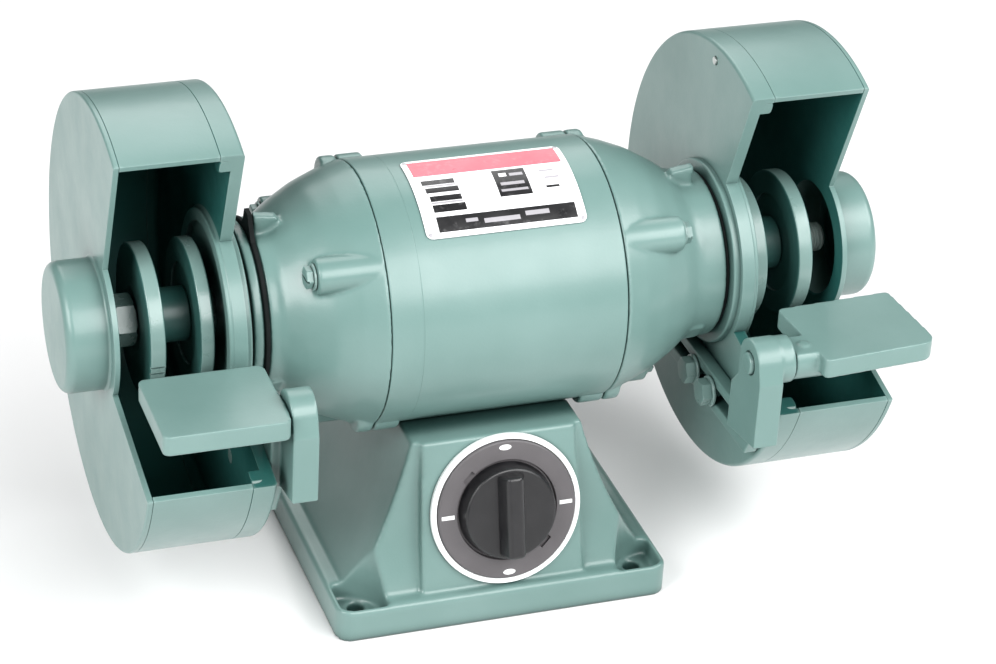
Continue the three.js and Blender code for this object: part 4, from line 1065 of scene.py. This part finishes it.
def rest_bracket(name, side_name, side):
    """Upright arm with a round boss, flowing into the slotted plate behind it."""
    outer = BOSS_END[side_name]
    plate_side = [(-102, ARM_FOOT), (-88, -74), (27, -74), (31, -70)]
    plate_side += [(31, -52.6), (-66, -52.6), (-90, -26), (-102, -19)]
    web_end = PLATE_INNER + 2
    web_plan = [(ARM_INNER, -92), (web_end, -92), (web_end, -76), (ARM_INNER + 3, -86)]
    solid = joined(
        prism(arm_outline(), ARM_INNER, ARM_OUTER),
        rod(ARM_INNER, outer, REST_BOSS - 0.4, REST_PIVOT, 1),
        prism(plate_side, PLATE_INNER, PLATE_OUTER),
        prism(web_plan, ARM_FOOT - 5, -28, "Z"),
    )
    slot = prism(slot_outline(), PLATE_INNER - 2, PLATE_OUTER + 1)
    pin_hole = rod(ARM_INNER - 1, outer + 1, 6.3, REST_PIVOT)
    casting(name, cut(solid, slot, pin_hole), 0.62, 6, side, rest_place(side_name))


def rest_table(name, side_name, side):
    """Slab with softened edges, its hub, and the pin that tilts in the bracket's boss."""
    bottom, top = TABLE["bottom"], TABLE["top"]
    outline = TABLE_PLAN[side_name]
    near = max(outline[0][0], outline[3][0])
    below_top = prism(rectangle(near - 30, near + 30, -200, 0), -30, top, "Z")
    parts = [
        prism(filleted(outline, 8), bottom, top, "Z"),
        common(rod(BOSS_END[side_name] + 0.3, near + 8, REST_BOSS - 1.5, REST_PIVOT), below_top),
        rod(ARM_INNER - 2, near + 2, 6, REST_PIVOT, 1.2),
    ]
    if side_name == "right":
        parts.append(upright(3, near - 5, REST_PIVOT.x, -4, top + 0.9, 32))
    casting(name, joined(*parts), 0.62, 8, side, rest_place(side_name))


def clamp_screw(name):
    """Small set screw in the rear of the boss, square to the pin."""
    low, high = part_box(name)
    centre = (low + high) / 2 / MM
    radius = (high.x - low.x) / 2 / MM
    length = (high.y - low.y) / MM
    head = bevelled(prism(hexagon(2 * radius * 0.87), length / 2 - 3.4, length / 2), 0.5, 2)
    shank = rod(-length / 2, length / 2 - 3, 2.5, edge=0.3, segments=24)
    turn = Matrix.Translation(centre) @ Matrix.Rotation(math.pi / 2, 4, "Z")
    piece(name, joined(head, shank), ZINC, place=turn)


def rest_bolt(name, side, y):
    """Hex bolt and its washer, through the bracket's slot into the guard."""
    washer = rod(PLATE_INNER - 2, PLATE_INNER - 0.3, 8.6, edge=0.5)
    start, end = PLATE_INNER - 7.5, PLATE_INNER - 1.6
    crown = rod(start, end + 0.2, REST_BOLT_FLATS / math.sqrt(3) + 0.1, edge=1.4, segments=66)
    head = common(prism(hexagon(REST_BOLT_FLATS), start, end), crown)
    shank = rod(PLATE_INNER - 1.1, DISH_INSIDE, 3.9, edge=0.2, segments=30)
    bolt = joined(washer, head, shank)
    bmesh.ops.translate(bolt, vec=(0, y, SLOT_HEIGHT), verts=bolt.verts)
    piece(name, bolt, FLANGE_GREEN, side=side, crease=30)


# ---- assembly -----------------------------------------------------------------------------------
def wheel_side(side_name, side):
    end_bell(f"end_bell_{side_name}", side)
    for place in LUG_ANGLES:
        bell_screw(f"bell_screw_{place}_{side_name}", side, place)
    guard_dish(f"guard_dish_{side_name}", side)
    guard_band(f"guard_band_{side_name}", side)
    guard_cover(f"guard_cover_{side_name}", side)
    guard_gasket(f"guard_gasket_{side_name}", side)
    for place, angle in GUARD_SCREWS.items():
        guard_screw(f"guard_screw_{place}_{side_name}", side, angle)
    flange_inner(f"flange_inner_{side_name}", side)
    flange_outer(f"flange_outer_{side_name}", side)
    wheel_spacer(f"wheel_spacer_{side_name}", side)
    spindle_nut(f"spindle_nut_{side_name}", side)
    rest_bracket(f"rest_bracket_{side_name}", side_name, side)
    rest_table(f"rest_table_{side_name}", side_name, side)
    clamp_screw(f"rest_clamp_screw_{side_name}")
    for place, y in REST_BOLTS.items():
        rest_bolt(f"rest_bolt_{place}_{side_name}", side, y)


def inner_parts():
    """CAD nodes that keep their own shape and only get a finish."""
    finishes = {
        "bright_steel": STEEL, "zinc_steel": ZINC, "lamination_steel": LAMINATION,
        "copper_winding": COPPER, "black_plastic": BLACK, "green_enamel": GREEN,
    }
    kept = ["base_cover_plate", "capacitor", "switch_body", "stator_core", "stator_winding", "rotor_core"]
    for side_name in SIDES:
        kept += [f"bearing_{part}_{side_name}" for part in ("outer_ring", "inner_ring", "balls")]
    for node in kept:
        mesh = frame["nodes"][node].data
        mesh.materials.clear()
        mesh.materials.append(finishes[SLOT_OF[node]])


base_casting()
cable_gland()
switch_bezel()
switch_plate()
switch_knob()
motor_barrel()
nameplate()
neck_seal()
spindle()
for side_name, side in SIDES.items():
    wheel_side(side_name, side)
inner_parts()


# ---- stage --------------------------------------------------------------------------------------
def floor():
    """Plain pale studio floor with a faint, even grain."""
    material, tree, shader, where = blank_material("floor", {"Specular IOR Level": 0.2})
    tint = mixed(tree, noise(tree, where, 3, 4), (0.72, 0.725, 0.725), (0.76, 0.76, 0.76))
    tree.links.new(tint, shader.inputs["Base Color"])
    tree.links.new(ranged(tree, noise(tree, where, 40, 3), 0.3, 0.7, 0.6, 0.75), shader.inputs["Roughness"])
    shape = bmesh.new()
    bmesh.ops.create_grid(shape, x_segments=2, y_segments=2, size=6)
    mesh = as_mesh(shape, "floor")
    mesh.materials.append(material)
    linked("floor", mesh)


def softbox(name, place, size, power):
    """Square area light aimed at the middle of the machine."""
    light = bpy.data.lights.new(name, "AREA")
    light.size, light.energy = size, power
    item = linked(name, light)
    item.location = place
    item.rotation_euler = (SPINDLE - Vector(place)).to_track_quat("-Z", "Y").to_euler()


def studio():
    """Four soft lights and a dim, cool surround."""
    world = bpy.data.worlds.new("studio")
    world.use_nodes = True
    background = world.node_tree.nodes["Background"]
    background.inputs["Color"].default_value = (0.97, 0.985, 1, 1)
    background.inputs["Strength"].default_value = 0.1
    bpy.context.scene.world = world
    softbox("key", (-1.6, -0.8, 1.2), 1.2, 49)
    softbox("front", (0.35, -1.55, 1.3), 1.3, 40)
    softbox("side", (1.4, -0.75, 1.5), 1.2, 40)
    softbox("back", (0.2, 1.5, 1.7), 1.6, 22)
    bpy.context.scene.view_settings.view_transform = "Standard"


def camera():
    """The eye stands to the left of and above the machine, and leans a little."""
    azimuth, elevation, lean = (math.radians(angle) for angle in (-20.4, 30.05, 3.33))
    distance = 1.713
    aim = SPINDLE + Vector((0.0148, -0.01, -0.0298))
    level = math.cos(elevation)
    back = Vector((math.sin(azimuth) * level, -math.cos(azimuth) * level, math.sin(elevation)))
    look = (-back).to_track_quat("-Z", "Y")
    lens = bpy.data.cameras.new("camera")
    lens.sensor_width, lens.lens = 36, 114.9
    lens.clip_start, lens.clip_end = 0.05, 30
    item = linked("camera", lens)
    item.location = aim + back * distance
    item.rotation_mode = "QUATERNION"
    item.rotation_quaternion = look @ Matrix.Rotation(lean, 4, "Z").to_quaternion()
    bpy.context.scene.camera = item


floor()
studio()
camera()
